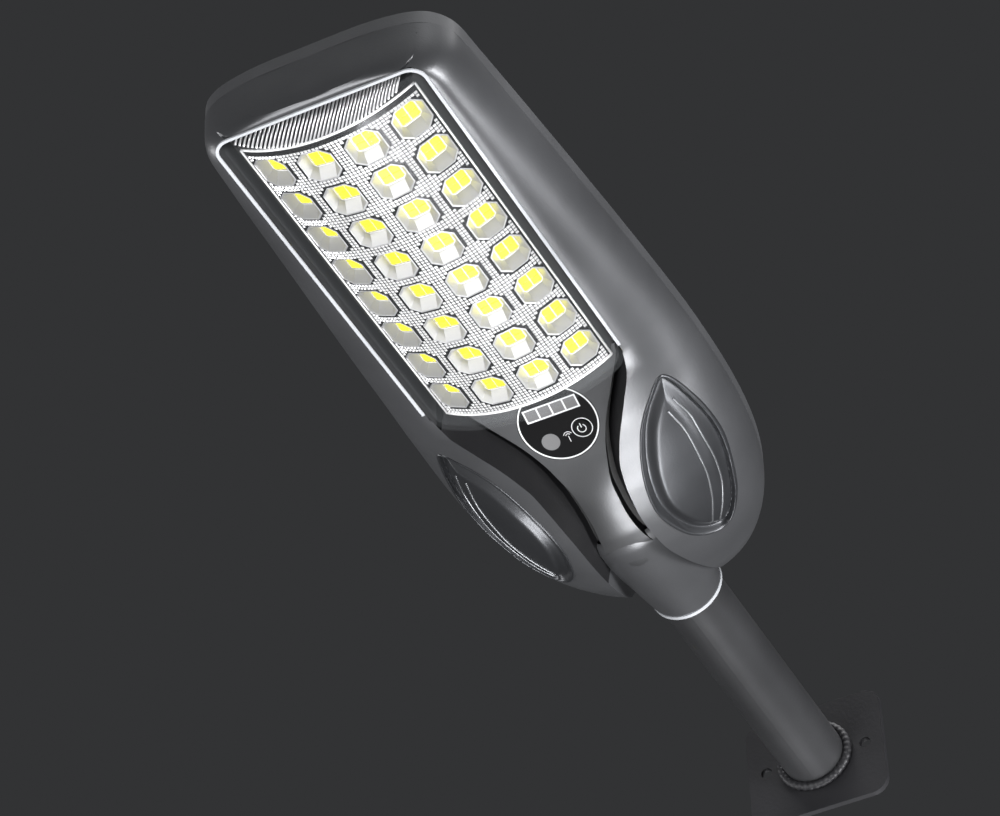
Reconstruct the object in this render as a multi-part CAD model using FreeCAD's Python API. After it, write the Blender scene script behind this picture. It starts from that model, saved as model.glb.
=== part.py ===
import FreeCAD, Part
import math
import os

os.makedirs("parts", exist_ok=True)
V = FreeCAD.Vector

# Solar street lamp on a wall bracket. The origin is the middle of the wall plate's back face, on the
# tube's axis. The lamp stands out from the wall along -Y, the light shines down along -Z and the
# solar panel looks up. A station is a distance from the wall, so a point at station s has Y = -s.

# ---- bracket
plate_width = 86.0
plate_height = 74.0
plate_thickness = 3.5
plate_corner = 10.0
bolt_spacing = 63.0
bolt_hole_radius = 3.5
tube_radius = 19.0
tube_wall = 1.5
tube_reach = 182.0            # wall to the tail of the head
tube_insertion = 62.0         # length of tube inside the head
weld_leg = 5.0

# ---- head, overall
head_length = 436.0
head_half_width = 85.4
widest_share = 0.404          # place of the widest section, from the tail
tip_taper = 17.0              # half width lost between the widest section and the tip
tip_corner = 34.0             # length over which the tip's corners round off
tail_power = 2.7
corner_power = 3.7
parting_z = 22.0              # joint between housing and back cover
rim_z = -9.5                  # flat rim face around the light opening
wall = 3.0
cover_height = 12.0
cover_edge = 4.0              # height and width of the cover's sloped edge
# station as a share of the head's length, crown height under the joint, squareness of the section
hull_form = [
    (0.004, 13.0, 2.6), (0.016, 23.0, 2.4), (0.040, 34.0, 2.2), (0.080, 44.5, 2.0),
    (0.135, 54.0, 2.0), (0.190, 60.0, 2.0), (0.240, 61.5, 2.0), (0.290, 59.5, 2.0),
    (0.340, 54.0, 2.0), (0.390, 48.0, 2.0), (0.450, 44.5, 2.0), (0.550, 43.0, 2.15),
    (0.720, 43.0, 2.4), (0.860, 43.0, 2.8), (0.935, 42.0, 3.1), (0.970, 40.0, 3.7),
    (0.990, 35.0, 4.6), (0.998, 29.0, 5.6)]
section_steps = 16
hull_overlap = 1.0            # the hull's section starts this far above the joint, then is trimmed

# ---- light
led_pitch = 26.5
led_rows = 8
led_columns = 4
chip_arc_radius = 84.3
column_angle = 16.67          # between neighbouring columns, degrees
chip_size_x = 5.0
chip_size_y = 4.1
chip_gap_x = 5.7              # centre to centre inside a group of four
chip_gap_y = 4.7
chip_thickness = 0.6
board_width = 16.0
board_thickness = 1.6
cup_depth = 7.5
cup_mouth_x = 22.8
cup_mouth_y = 19.9
cup_floor = 12.4
spreader_sheet = 1.6
tail_rows = 4.15              # reflector's ends from its middle, in LED pitches
tip_rows = 4.12
reflector_half_width = 47.7
reflector_sheet = 2.0
end_wall_lean = 8.7           # how far the ribbed end wall leans toward the tip
opening_half_width = 56.3
opening_corner = 8.0
tip_border = 5.2              # tip to the opening
tray_floor_z = 14.5
tray_wall = 2.5
ledge_z = 9.0
ledge_width = 3.5
ledge_height = 2.5
lens_rise = 16.0
lens_thickness = 2.0
lens_gap = 0.6
gasket_height = 1.5
rim_bead_width = 1.6
rim_bead_proud = 0.8
rim_bead_seat = 1.0

# ---- control disc
disc_setback = 30.5           # opening to the disc's middle
disc_z = -4.8
disc_tilt = 21.0
disc_radius = 22.3
bezel_thickness = 2.0
ring_width = 0.8
seat_gap = 0.1
gauge_segments = 4
gauge_width = 31.0
gauge_height = 8.0
gauge_y = 9.0
gauge_frame_width = 0.9
sensor_x = -8.5
sensor_y = -9.1
sensor_radius = 5.0
button_x = 10.9
button_y = -6.9
button_radius = 4.7
button_gap = 0.3
button_travel = 0.8
board_drop = 9.0              # disc face to the control board
control_board_size = 36.0

# ---- spine, lobes and eyes
# share of the way from the opening to the tail, and half width there
lobe_line = [(-0.05, 56.3), (0.014, 53.0), (0.095, 43.7), (0.204, 30.5), (0.265, 23.6),
             (0.367, 19.1), (0.476, 17.2), (0.585, 18.3), (0.70, 21.5), (0.83, 25.5), (1.02, 30.0)]
spine_line = [(-0.05, 50.3), (0.014, 47.5), (0.095, 37.5), (0.204, 23.3), (0.286, 15.9),
              (0.381, 10.9), (0.463, 10.3), (0.537, 11.7), (0.626, 15.4), (0.70, 19.0)]
# share of the way, and height of the spine's surface
spine_rise = [(0.272, -13.5), (0.381, -22.8), (0.463, -27.8), (0.537, -30.5), (0.626, -30.5),
              (0.721, -27.3), (0.830, -16.7), (0.925, -2.0), (0.992, 15.0)]
groove_depth = 6.0
groove_floor = 1.2
spine_skin = 3.0
eye_depth = 5.0
eye_inlay = 1.8
pad_depth = 8.0
# teardrop outline: across from the eye's middle line, and along toward the tip, from its centre
eye_points = [(14.8, 60.0), (22.0, 34.0), (23.5, 5.5), (19.0, -19.5), (11.5, -41.0), (1.0, -54.5),
              (-9.0, -51.5), (-18.0, -36.0), (-23.0, -10.5), (-19.5, 14.5), (-9.8, 38.5), (3.0, 54.0)]
eye_x = 51.6
eye_back = 79.5               # opening to the eye's centre

# ---- pole socket
sleeve_radius = 21.3
sleeve_growth = 0.107         # widening of the boss per mm of depth
socket_radius = 21.0
socket_lip = 7.0
running_gap = 0.05
ring_length = 2.2
seal_length = 1.3
ring_back = 3.5               # tail to the ring's inner face
socket_end = 3.0              # socket floor beyond the tube
lock_radius = 3.0
lock_head_radius = 5.0
lock_head_height = 3.4
lock_depth = 30.0             # tail to the lock screw
lock_tip_gap = 0.3
lock_nut_radius = 5.8
lock_nut_height = 4.5

# ---- fasteners
screw_radius = 1.5
screw_head_radius = 2.8
screw_head_seat = 2.2         # depth of the head's recess
screw_shares = (0.14, 0.40, 0.64, 0.88)
screw_edge = 9.5              # head's side to a screw
post_radius = 4.0
lock_post_radius = 9.0

# ---- battery
cell_radius = 9.2
cell_length = 65.0
cell_count = 4
cell_gap = 1.6
cell_cap = 1.0
cell_cap_radius = 3.0
cell_z = 10.5
battery_gap = 14.0            # tube end to the cells
holder_wall = 2.5
holder_clearance = 0.2
holder_side = 1.2
holder_drop = 5.0             # cells' middle to the holder's lower edge
holder_top = 1.5              # holder above the joint
strap_width = 8.0
strap_setback = 18.0
strap_thickness = 0.8
wire_size = 1.4

# ---- solar panel
glass_half_width = 59.0
glass_corner = 10.0
glass_tail_margin = 60.0
glass_tip_margin = 20.0
glass_thickness = 1.6
cell_sheet = 0.4
backsheet_thickness = 1.0
solar_columns = 2
solar_rows = 6
panel_box_back = 110.0        # tail to the panel's junction box

# ---- derived stations
tail = tube_reach
tip = tail + head_length
opening_tip = tip - tip_border
array_middle = opening_tip - end_wall_lean - 4.28 * led_pitch
opening_tail = array_middle - 4.3 * led_pitch
tube_end = tail + tube_insertion
disc_station = opening_tail - disc_setback
cover_top = parting_z + cover_height
arc_z = -11.4 + chip_arc_radius * math.cos(math.radians(column_angle / 2))
control_length = opening_tail - tail
lock_station = tail + lock_depth
panel_box_station = tail + panel_box_back
front_radius = chip_arc_radius + cup_depth
back_radius = chip_arc_radius + 0.6
reflector_tail = array_middle - tail_rows * led_pitch
reflector_tip = array_middle + tip_rows * led_pitch
battery_tail = tube_end + battery_gap
cell_pitch = 2 * cell_radius + cell_gap


# ---- basic solids
def box(x0, x1, s0, s1, z0, z1):
    return Part.makeBox(x1 - x0, s1 - s0, z1 - z0, V(x0, -s1, z0))


def rod_y(radius, s0, s1, x=0.0, z=0.0):
    return Part.makeCylinder(radius, s1 - s0, V(x, -s0, z), V(0, -1, 0))


def cone_y(radius0, radius1, s0, s1):
    return Part.makeCone(radius0, radius1, s1 - s0, V(0, -s0, 0), V(0, -1, 0))


def rod_z(radius, x, s, z0, z1):
    return Part.makeCylinder(radius, z1 - z0, V(x, -s, z0), V(0, 0, 1))


def prism(wire, z0, z1):
    face = Part.Face(wire)
    face.translate(V(0, 0, z0))
    return face.extrude(V(0, 0, z1 - z0))


def spline_wire(points):
    curve = Part.BSplineCurve()
    curve.interpolate(Points=points, PeriodicFlag=True)
    return Part.Wire([curve.toShape()])


def rounded_rectangle(x0, x1, y0, y1, radius):
    face = Part.makePlane(x1 - x0, y1 - y0, V(x0, y0, 0))
    solid = face.extrude(V(0, 0, 1))
    upright = [e for e in solid.Edges if abs(e.Vertexes[0].X - e.Vertexes[-1].X) < 1e-6
               and abs(e.Vertexes[0].Y - e.Vertexes[-1].Y) < 1e-6]
    solid = solid.makeFillet(radius, upright)
    bottom = min(solid.Faces, key=lambda f: f.CenterOfMass.z)
    return bottom.OuterWire


def save(name, shape):
    shape.exportStep("parts/" + name + ".step")


# ---- shape of the head
def half_width(station, inset=0.0):
    share = (station - tail - inset) / (head_length - 2 * inset)
    share = min(max(share, 0.0), 1.0)
    corner_start = 1 - tip_corner / head_length
    if share < widest_share:
        rest = 1 - share / widest_share
        width = head_half_width * (1 - rest ** tail_power) ** (1 / tail_power)
    else:
        run = (share - widest_share) / (1 - widest_share)
        width = head_half_width - tip_taper * run ** 1.3
    width = width * (1 - inset / head_half_width)
    if share > corner_start:
        turn = (share - corner_start) / (1 - corner_start)
        width = width * (1 - turn ** corner_power) ** (1 / corner_power)
    return width


def hull_section(station, height, power, inset):
    width = half_width(station, inset)
    base = parting_z + hull_overlap
    points = []
    for i in range(section_steps + 1):
        angle = math.pi * (i / section_steps - 0.5)
        sine = math.sin(angle)
        cosine = max(math.cos(angle), 0.0)
        x = math.copysign(width * abs(sine) ** (2 / power), sine)
        z = base - (height + hull_overlap - inset) * cosine ** (2 / power)
        points.append(V(x, -station, z))
    curve = Part.BSplineCurve()
    curve.interpolate(points)
    up = V(0, 0, 1 + inset)
    corners = [points[-1], points[-1] + up, points[0] + up, points[0]]
    sides = [Part.makeLine(a, b) for a, b in zip(corners, corners[1:])]
    return Part.Wire([curve.toShape()] + sides)


def hull(inset=0.0):
    wires = []
    for share, height, power in hull_form:
        station = tail + inset + share * (head_length - 2 * inset)
        wires.append(hull_section(station, height, power, inset))
    return Part.makeLoft(wires, True, False, False, 3)


def plan_outline(inset=0.0, steps=22):
    length = head_length - 2 * inset
    side = []
    for i in range(1, steps):
        share = (1 - math.cos(math.pi * i / steps)) / 2
        station = tail + inset + share * length
        side.append((half_width(station, inset), station))
    points = [V(0, -(tail + inset), 0)]
    points += [V(x, -s, 0) for x, s in side]
    points += [V(x, -(tip - inset), 0) for x in (0.5 * side[-1][0], 0.0, -0.5 * side[-1][0])]
    points += [V(-x, -s, 0) for x, s in reversed(side)]
    return spline_wire(points)


def control_station(share):
    return opening_tail - share * control_length


def strip_outline(half_widths):
    right = [V(x, -control_station(t), 0) for t, x in half_widths]
    left = [V(-p.x, p.y, 0) for p in reversed(right)]
    curve_r = Part.BSplineCurve()
    curve_r.interpolate(right)
    curve_l = Part.BSplineCurve()
    curve_l.interpolate(left)
    return Part.Wire([curve_r.toShape(), Part.makeLine(right[-1], left[0]), curve_l.toShape(),
                      Part.makeLine(left[-1], right[0])])


def spine_front(shift=0.0):
    slope = math.tan(math.radians(disc_tilt))
    disc_share = disc_setback / control_length
    points = [V(0, -control_station(-0.05), disc_z + slope * (disc_setback + 0.05 * control_length)),
              V(0, -control_station(disc_share), disc_z)]
    points += [V(0, -control_station(t), z) for t, z in spine_rise]
    points.append(V(0, -control_station(1.05), 30.0))
    points = [V(0, p.y, p.z + shift) for p in points]
    curve = Part.BSplineCurve()
    curve.interpolate(points)
    low = -120.0
    corners = [points[-1], V(0, points[-1].y, low), V(0, points[0].y, low), points[0]]
    sides = [Part.makeLine(a, b) for a, b in zip(corners, corners[1:])]
    face = Part.Face(Part.Wire([curve.toShape()] + sides))
    face.translate(V(-100, 0, 0))
    return face.extrude(V(200, 0, 0))


def eye_outline(side, grow=0.0):
    centre = opening_tail - eye_back
    points = []
    for across, along in eye_points:
        reach = math.hypot(across, along)
        scale = (reach + grow) / reach
        points.append(V(side * (eye_x + across * scale), -(centre + along * scale), 0))
    return spline_wire(points)


def eye_prism(side, grow=0.0):
    return prism(eye_outline(side, grow), -90, parting_z + 20)


# ---- control disc's own frame: x right, y toward the tip, z out of the face
def on_disc(shape):
    turn = FreeCAD.Rotation(V(1, 0, 0), 180 - disc_tilt)
    copy = shape.copy()
    copy.Placement = FreeCAD.Placement(V(0, -disc_station, disc_z), turn).multiply(copy.Placement)
    return copy


def disc_rod(radius, x, y, z0, z1):
    return on_disc(Part.makeCylinder(radius, z1 - z0, V(x, y, z0)))


def disc_box(x0, x1, y0, y1, z0, z1):
    return on_disc(Part.makeBox(x1 - x0, y1 - y0, z1 - z0, V(x0, y0, z0)))


# ---- light opening
def opening_wire(grow=0.0):
    radius = opening_corner + grow
    return rounded_rectangle(-opening_half_width - grow, opening_half_width + grow,
                             -(opening_tip + grow), -(opening_tail - grow), radius)


def tray_outer():
    return prism(opening_wire(tray_wall), -60, tray_floor_z + tray_wall)


# ---- fasteners
def cover_screw_places():
    places = []
    for share in screw_shares:
        station = tail + share * head_length
        reach = half_width(station) - screw_edge
        places += [(reach, station), (-reach, station)]
    return places



def pole_boss():
    root_radius = sleeve_radius + sleeve_growth * (tube_end + 10 - tail)
    return cone_y(sleeve_radius, root_radius, tail + ring_back, tube_end + 10)


def lower_housing(outer, inner, deep):
    above = parting_z + 20
    block = prism(strip_outline([(t, x + spine_skin) for t, x in lobe_line]), -90, above)
    block = block.common(spine_front(groove_depth + spine_skin))
    boss = pole_boss()
    well = disc_rod(disc_radius + 1.5, 0, 0, -40, -spine_skin - bezel_thickness)
    cavity = inner.cut(tray_outer()).cut(block).cut(boss)
    cavity = cavity.fuse(well.common(inner))
    for side in (1, -1):
        cavity = cavity.cut(eye_prism(side, 3.0).cut(deep))
    posts = [rod_z(post_radius, x, s, -5, above) for x, s in cover_screw_places()]
    cavity = cavity.cut(posts[0].multiFuse(posts[1:]))
    shell = outer.cut(cavity)
    shell = shell.cut(box(-100, 100, tail - 10, tip + 10, parting_z, parting_z + 30))
    shell = shell.cut(box(-100, 100, opening_tail - 3, tip + 10, -90, rim_z))
    ledge = prism(opening_wire(), ledge_z, ledge_z + ledge_height)
    ledge = ledge.cut(prism(opening_wire(-ledge_width), 0, 20))
    shell = shell.cut(prism(opening_wire(), -60, tray_floor_z).cut(ledge))
    gap = prism(strip_outline(lobe_line), -90, above)
    shell = shell.cut(gap.common(spine_front()).cut(boss))
    groove = gap.cut(prism(strip_outline(spine_line), -90, above)).common(spine_front(groove_depth))
    groove = groove.common(box(-100, 100, control_station(0.69), opening_tail, -90, 90))
    shell = shell.cut(groove)
    return shell.fuse(boss.common(box(-60, 60, tail, tip, -60, 8.0)))


def control_cuts():
    cuts = [disc_rod(disc_radius + seat_gap, 0, 0, -bezel_thickness, 40)]
    cuts.append(disc_rod(button_radius + button_gap, button_x, button_y, -20, 40))
    cuts.append(disc_rod(sensor_radius - 0.8, sensor_x, sensor_y, -20, 40))
    half = gauge_width / 2 - 1.5
    cuts.append(disc_box(-half, half, gauge_y - 2.5, gauge_y + 2.5, -20, 40))
    return cuts[0].multiFuse(cuts[1:])


def finish_housing(shell, middle):
    shell = shell.cut(control_cuts())
    shell = shell.cut(rod_y(tube_radius + running_gap, tail - 10, tail + socket_lip + 5))
    shell = shell.cut(rod_y(socket_radius, tail + socket_lip, tube_end + 5))
    for side in (1, -1):
        shell = shell.cut(eye_prism(side).cut(middle))
    for x, s in cover_screw_places():
        shell = shell.cut(rod_z(screw_radius, x, s, parting_z - 12, parting_z + 5))
    shell = shell.cut(rod_y(sleeve_radius + 0.3, tail - 10, tail + ring_back))
    shell = shell.cut(rod_z(lock_radius, 0, lock_station, 0, parting_z + 5))
    return shell.cut(rim_bead(rim_bead_seat + 5))


def rim_bead(depth=rim_bead_seat):
    outer = prism(opening_wire(rim_bead_width), rim_z - rim_bead_proud, rim_z - rim_bead_proud + depth)
    ring = outer.cut(prism(opening_wire(), -90, 90))
    return ring.common(box(-100, 100, opening_tail + 14, tip, -90, 90))


# ---- wall bracket
def wall_flange():
    plate = rounded_rectangle(-plate_width / 2, plate_width / 2, -plate_height / 2, plate_height / 2,
                              plate_corner)
    face = Part.Face(plate)
    plate = face.extrude(V(0, 0, plate_thickness))
    plate.rotate(V(0, 0, 0), V(1, 0, 0), 90)
    low = plate.BoundBox.YMax
    plate.translate(V(0, -low, 0))
    for side in (1, -1):
        plate = plate.cut(rod_y(bolt_hole_radius, -5, plate_thickness + 5, side * bolt_spacing / 2))
    return plate


def pole_tube():
    outside = rod_y(tube_radius, plate_thickness, tube_end)
    return outside.cut(rod_y(tube_radius - tube_wall, plate_thickness - 1, tube_end + 1))


def weld_collar():
    ring = cone_y(tube_radius + weld_leg, tube_radius + 0.4, plate_thickness, plate_thickness + weld_leg)
    return ring.cut(rod_y(tube_radius, 0, 20))


# ---- pole socket
def pole_socket():
    start = tail + socket_lip
    cup = rod_y(socket_radius, start, tube_end + socket_end)
    cup = cup.cut(rod_y(tube_radius + running_gap, start - 1, tube_end + 1))
    return cup.cut(rod_z(lock_radius, 0, lock_station, 0, 40))


def socket_ring():
    ring = rod_y(sleeve_radius + 0.3, tail + ring_back - ring_length, tail + ring_back)
    return ring.cut(rod_y(tube_radius + running_gap, tail - 5, tail + 10))


def socket_seal():
    start = tail + ring_back - ring_length - seal_length
    ring = rod_y(sleeve_radius - 0.4, start, start + seal_length)
    return ring.cut(rod_y(tube_radius + running_gap, tail - 15, tail + 10))


def pole_lock_screw():
    shank = rod_z(lock_radius, 0, lock_station, tube_radius + lock_tip_gap, cover_top - 4)
    head = rod_z(lock_head_radius, 0, lock_station, cover_top - 4, cover_top - 0.6)
    slot = Part.makeBox(1.4, 2 * lock_head_radius + 2, 1.6,
                        V(-0.7, -lock_station - lock_head_radius - 1, cover_top - 2.0))
    return shank.fuse(head).cut(slot)


def lock_nut():
    points = [V(lock_nut_radius * math.cos(k * math.pi / 3), lock_nut_radius * math.sin(k * math.pi / 3), 0)
              for k in range(7)]
    nut = Part.Face(Part.makePolygon(points)).extrude(V(0, 0, lock_nut_height))
    nut.translate(V(0, -lock_station, parting_z + 1))
    return nut.cut(rod_z(lock_radius, 0, lock_station, 0, 60))


# ---- back cover and solar panel
def glass_outline(inset=0.0):
    s0 = tail + glass_tail_margin + inset
    s1 = tip - glass_tip_margin - inset
    half = glass_half_width - inset
    return rounded_rectangle(-half, half, -s1, -s0, glass_corner - inset)


def back_cover():
    low = prism(plan_outline(), parting_z, cover_top - cover_edge)
    bottom = plan_outline()
    bottom.translate(V(0, 0, cover_top - cover_edge))
    top = plan_outline(cover_edge)
    top.translate(V(0, 0, cover_top))
    cover = low.fuse(Part.makeLoft([bottom, top], True, True))
    roof = cover_top - glass_thickness - cell_sheet - backsheet_thickness
    hollow = prism(plan_outline(wall), parting_z - 1, roof - 2)
    posts = [rod_z(post_radius, x, s, parting_z, cover_top - 3) for x, s in cover_screw_places()]
    posts.append(rod_z(lock_post_radius, 0, lock_station, parting_z, cover_top - 3))
    hollow = hollow.cut(posts[0].multiFuse(posts[1:]))
    cover = cover.cut(hollow).cut(prism(glass_outline(), roof, cover_top + 5))
    for x, s in cover_screw_places():
        cover = cover.cut(rod_z(screw_radius, x, s, parting_z - 5, cover_top))
        cover = cover.cut(rod_z(screw_head_radius + 0.3, x, s, cover_top - screw_head_seat, cover_top + 5))
    cover = cover.cut(rod_z(lock_radius, 0, lock_station, parting_z - 5, cover_top))
    cover = cover.cut(rod_z(lock_head_radius + 0.3, 0, lock_station, cover_top - 4, cover_top + 5))
    cover = cover.cut(rod_z(6.2, 0, lock_station, parting_z - 5, parting_z + 5.5))
    groove = prism(plan_outline(0.7), parting_z - 1, parting_z + 1.2)
    groove = groove.cut(prism(plan_outline(2.3), parting_z - 2, parting_z + 5))
    cover = cover.cut(groove)
    port = rod_z(3.0, 0, panel_box_station, roof - 5, roof + 2)
    return cover.cut(port)


def cover_gasket():
    ring = prism(plan_outline(0.9), parting_z, parting_z + 1.1)
    return ring.cut(prism(plan_outline(2.1), parting_z - 2, parting_z + 5))



def panel_stack():
    z0 = cover_top - glass_thickness - cell_sheet - backsheet_thickness
    back = prism(glass_outline(0.2), z0, z0 + backsheet_thickness)
    glass = prism(glass_outline(0.2), z0 + backsheet_thickness + cell_sheet, cover_top)
    s0 = tail + glass_tail_margin + 8
    s1 = tip - glass_tip_margin - 8
    pitch_y = (s1 - s0) / solar_rows
    pitch_x = 2 * (glass_half_width - 6) / solar_columns
    cells = []
    for i in range(solar_columns):
        for j in range(solar_rows):
            x = -glass_half_width + 6 + i * pitch_x
            s = s0 + j * pitch_y
            cells.append(box(x + 1, x + pitch_x - 1, s + 1, s + pitch_y - 1, z0 + backsheet_thickness,
                             z0 + backsheet_thickness + cell_sheet))
    return back, Part.makeCompound(cells), glass


def panel_box():
    roof = cover_top - glass_thickness - cell_sheet - backsheet_thickness - 2
    body = box(-11, 11, panel_box_station - 8, panel_box_station + 8, roof - 5, roof)
    return body.makeFillet(1.0, [e for e in body.Edges if abs(e.BoundBox.ZLength - 5) < 1e-6])


def cover_screws():
    screws = []
    for x, s in cover_screw_places():
        shank = rod_z(screw_radius, x, s, parting_z - 10, cover_top - screw_head_seat)
        head = rod_z(screw_head_radius, x, s, cover_top - screw_head_seat, cover_top - 0.4)
        cross = box(x - 0.4, x + 0.4, s - 1.8, s + 1.8, cover_top - 1.4, cover_top)
        cross = cross.fuse(box(x - 1.8, x + 1.8, s - 0.4, s + 0.4, cover_top - 1.4, cover_top))
        screws.append(shank.fuse(head).cut(cross))
    return Part.makeCompound(screws)


# ---- light
def arc_section(centre, radius, half, z_low, station):
    rise = math.sqrt(radius ** 2 - half ** 2)
    left = V(-half, -station, centre - rise)
    right = V(half, -station, centre - rise)
    top = V(0, -station, centre - radius)
    low_right = V(half, -station, z_low)
    low_left = V(-half, -station, z_low)
    return Part.Face(Part.Wire([Part.Arc(left, top, right).toShape(), Part.makeLine(right, low_right),
                                Part.makeLine(low_right, low_left), Part.makeLine(low_left, left)]))


def vault(radius, half, z_low, s0, s1):
    return arc_section(arc_z, radius, half, z_low, s0).extrude(V(0, -(s1 - s0), 0))


def column_angles():
    return [(i - (led_columns - 1) / 2) * column_angle for i in range(led_columns)]


def row_stations():
    return [array_middle + ((led_rows - 1) / 2 - j) * led_pitch for j in range(led_rows)]


# a shape drawn around x = 0 at radius r below the arc's centre, turned to its column
def to_column(shape, angle):
    copy = shape.copy()
    copy.rotate(V(0, 0, arc_z), V(0, 1, 0), -angle)
    return copy


def octagon(size_x, size_y, cut, station, z):
    a = size_x / 2
    b = size_y / 2
    corners = [(a, b - cut), (a - cut, b), (cut - a, b), (-a, b - cut),
               (-a, cut - b), (cut - a, -b), (a - cut, -b), (a, cut - b)]
    points = [V(x, y - station, z) for x, y in corners]
    return Part.makePolygon(points + [points[0]])


def cup(station):
    mouth = octagon(cup_mouth_x, cup_mouth_y, 6.0, station, arc_z - front_radius - 0.5)
    floor = octagon(cup_floor, cup_floor, 2.5, station, arc_z - back_radius + 0.5)
    return Part.makeLoft([mouth, floor], True, True)


def reflector():
    low = tray_floor_z - 0.5
    body = vault(front_radius, reflector_half_width, low, reflector_tail, reflector_tip + end_wall_lean)
    top_z = arc_z - front_radius
    lean = Part.Face(Part.makePolygon([V(0, -reflector_tip, top_z), V(0, -reflector_tip - 30, top_z),
                                       V(0, -reflector_tip - 30, low),
                                       V(0, -reflector_tip - end_wall_lean, low),
                                       V(0, -reflector_tip, top_z)]))
    lean.translate(V(-100, 0, 0))
    body = body.cut(lean.extrude(V(200, 0, 0)))
    inside = vault(back_radius, reflector_half_width - reflector_sheet, low - 0.01,
                   reflector_tail + reflector_sheet, reflector_tip - reflector_sheet)
    body = body.cut(inside)
    cups = []
    for angle in column_angles():
        for station in row_stations():
            cups.append(to_column(cup(station), angle))
    return body.cut(cups[0].multiFuse(cups[1:]))


def led_board(angle):
    half = 4 * led_pitch - 2
    top = arc_z - chip_arc_radius + chip_thickness
    board = box(-board_width / 2, board_width / 2, array_middle - half, array_middle + half, top,
                top + board_thickness)
    return to_column(board, angle)


def led_chips(angle):
    chips = []
    top = arc_z - chip_arc_radius
    for station in row_stations():
        for i in (-0.5, 0.5):
            for j in (-0.5, 0.5):
                x = i * chip_gap_x
                s = station + j * chip_gap_y
                chips.append(box(x - chip_size_x / 2, x + chip_size_x / 2, s - chip_size_y / 2,
                                 s + chip_size_y / 2, top, top + chip_thickness))
    return to_column(Part.makeCompound(chips), angle)


def heat_spreader():
    radius = chip_arc_radius - chip_thickness - board_thickness - 0.05
    half = reflector_half_width - reflector_sheet - 3.5
    s0 = array_middle - 4 * led_pitch
    s1 = array_middle + 4 * led_pitch - 2
    low = tray_floor_z
    body = vault(radius, half, low, s0, s1)
    inside = vault(radius - spreader_sheet, half - spreader_sheet, low + 1, s0 - 1, s1 + 1)
    return body.cut(inside)


def lens_arc():
    half = opening_half_width - lens_gap
    radius = (half ** 2 + lens_rise ** 2) / (2 * lens_rise)
    return radius, half


def lens_solid(inset):
    radius, half = lens_arc()
    crown = rim_z - lens_rise
    half = half - inset
    radius = radius - inset
    centre = crown + inset + radius
    low = ledge_z - gasket_height
    s0 = opening_tail + lens_gap + inset
    s1 = opening_tip - lens_gap - inset
    solid = arc_section(centre, radius, half, low, s0).extrude(V(0, -(s1 - s0), 0))
    corner = max(opening_corner - lens_gap - inset, 1.0)
    frame = rounded_rectangle(-half, half, -s1, -s0, corner)
    return solid.common(prism(frame, -90, low))


def lens_cover():
    inner = lens_solid(lens_thickness)
    inner = inner.fuse(prism(opening_wire(-lens_gap - lens_thickness), 0, ledge_z))
    return lens_solid(0.0).cut(inner)


def lens_gasket():
    ring = prism(opening_wire(-lens_gap), ledge_z - gasket_height, ledge_z)
    return ring.cut(prism(opening_wire(-ledge_width), -5, 20))


# ---- controls
def control_bezel():
    disc = disc_rod(disc_radius, 0, 0, -bezel_thickness, 0)
    disc = disc.cut(disc_rod(button_radius + button_gap, button_x, button_y, -5, 5))
    disc = disc.cut(disc_rod(sensor_radius, sensor_x, sensor_y, -5, 5))
    disc = disc.cut(disc_rod(disc_radius - 1.2 + ring_width, 0, 0, -0.8, 5)
                    .cut(disc_rod(disc_radius - 1.2, 0, 0, -5, 5)))
    half = gauge_width / 2
    window = disc_box(-half, half, gauge_y - gauge_height / 2, gauge_y + gauge_height / 2, -5, 5)
    return disc.cut(window)


def bezel_ring():
    ring = disc_rod(disc_radius - 1.2 + ring_width, 0, 0, -0.8, 0.1)
    return ring.cut(disc_rod(disc_radius - 1.2, 0, 0, -5, 5))


def gauge_frame():
    half = gauge_width / 2
    tall = gauge_height / 2
    plate = disc_box(-half, half, gauge_y - tall, gauge_y + tall, -bezel_thickness, 0.05)
    for x0, x1 in gauge_cells():
        plate = plate.cut(disc_box(x0, x1, gauge_y - tall + gauge_frame_width,
                                   gauge_y + tall - gauge_frame_width, -5, 5))
    return plate


def gauge_cells():
    inner = gauge_width - gauge_frame_width
    step = inner / gauge_segments
    left = -gauge_width / 2 + gauge_frame_width
    return [(left + i * step, left + (i + 1) * step - gauge_frame_width) for i in range(gauge_segments)]


def gauge_windows():
    tall = gauge_height / 2 - gauge_frame_width
    return Part.makeCompound([disc_box(x0, x1, gauge_y - tall, gauge_y + tall, -bezel_thickness, -0.1)
                              for x0, x1 in gauge_cells()])


def sensor_window():
    return disc_rod(sensor_radius, sensor_x, sensor_y, -bezel_thickness, 0.0)


def power_button():
    cap = disc_rod(button_radius, button_x, button_y, -3.0, 1.0)
    stem = disc_rod(1.5, button_x, button_y, -board_drop + 2.5 + button_travel + 0.3, -3.0)
    flange = disc_rod(button_radius - 0.2, button_x, button_y, -3.6, -3.0)
    return cap.fuse(stem).fuse(flange)


def button_switch():
    body = disc_box(button_x - 3, button_x + 3, button_y - 3, button_y + 3, -board_drop, -board_drop + 2.0)
    return body.fuse(disc_rod(1.2, button_x, button_y, -board_drop + 2.0, -board_drop + 2.5))


def button_spring():
    turns = 3
    z0 = -board_drop + 2.3
    coil = [Part.makeTorus(2.6, 0.25, V(button_x, button_y, z0 + 0.6 * k)) for k in range(turns)]
    return on_disc(Part.makeCompound(coil))


def control_board():
    half = control_board_size / 2
    board = disc_box(-half, half, -half, half, -board_drop - 1.6, -board_drop)
    well = disc_rod(disc_radius + 1.2, 0, 0, -20, 0)
    return board.common(well)


def motion_sensor():
    return disc_rod(4.0, sensor_x, sensor_y, -board_drop, -bezel_thickness - 0.3)


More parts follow.
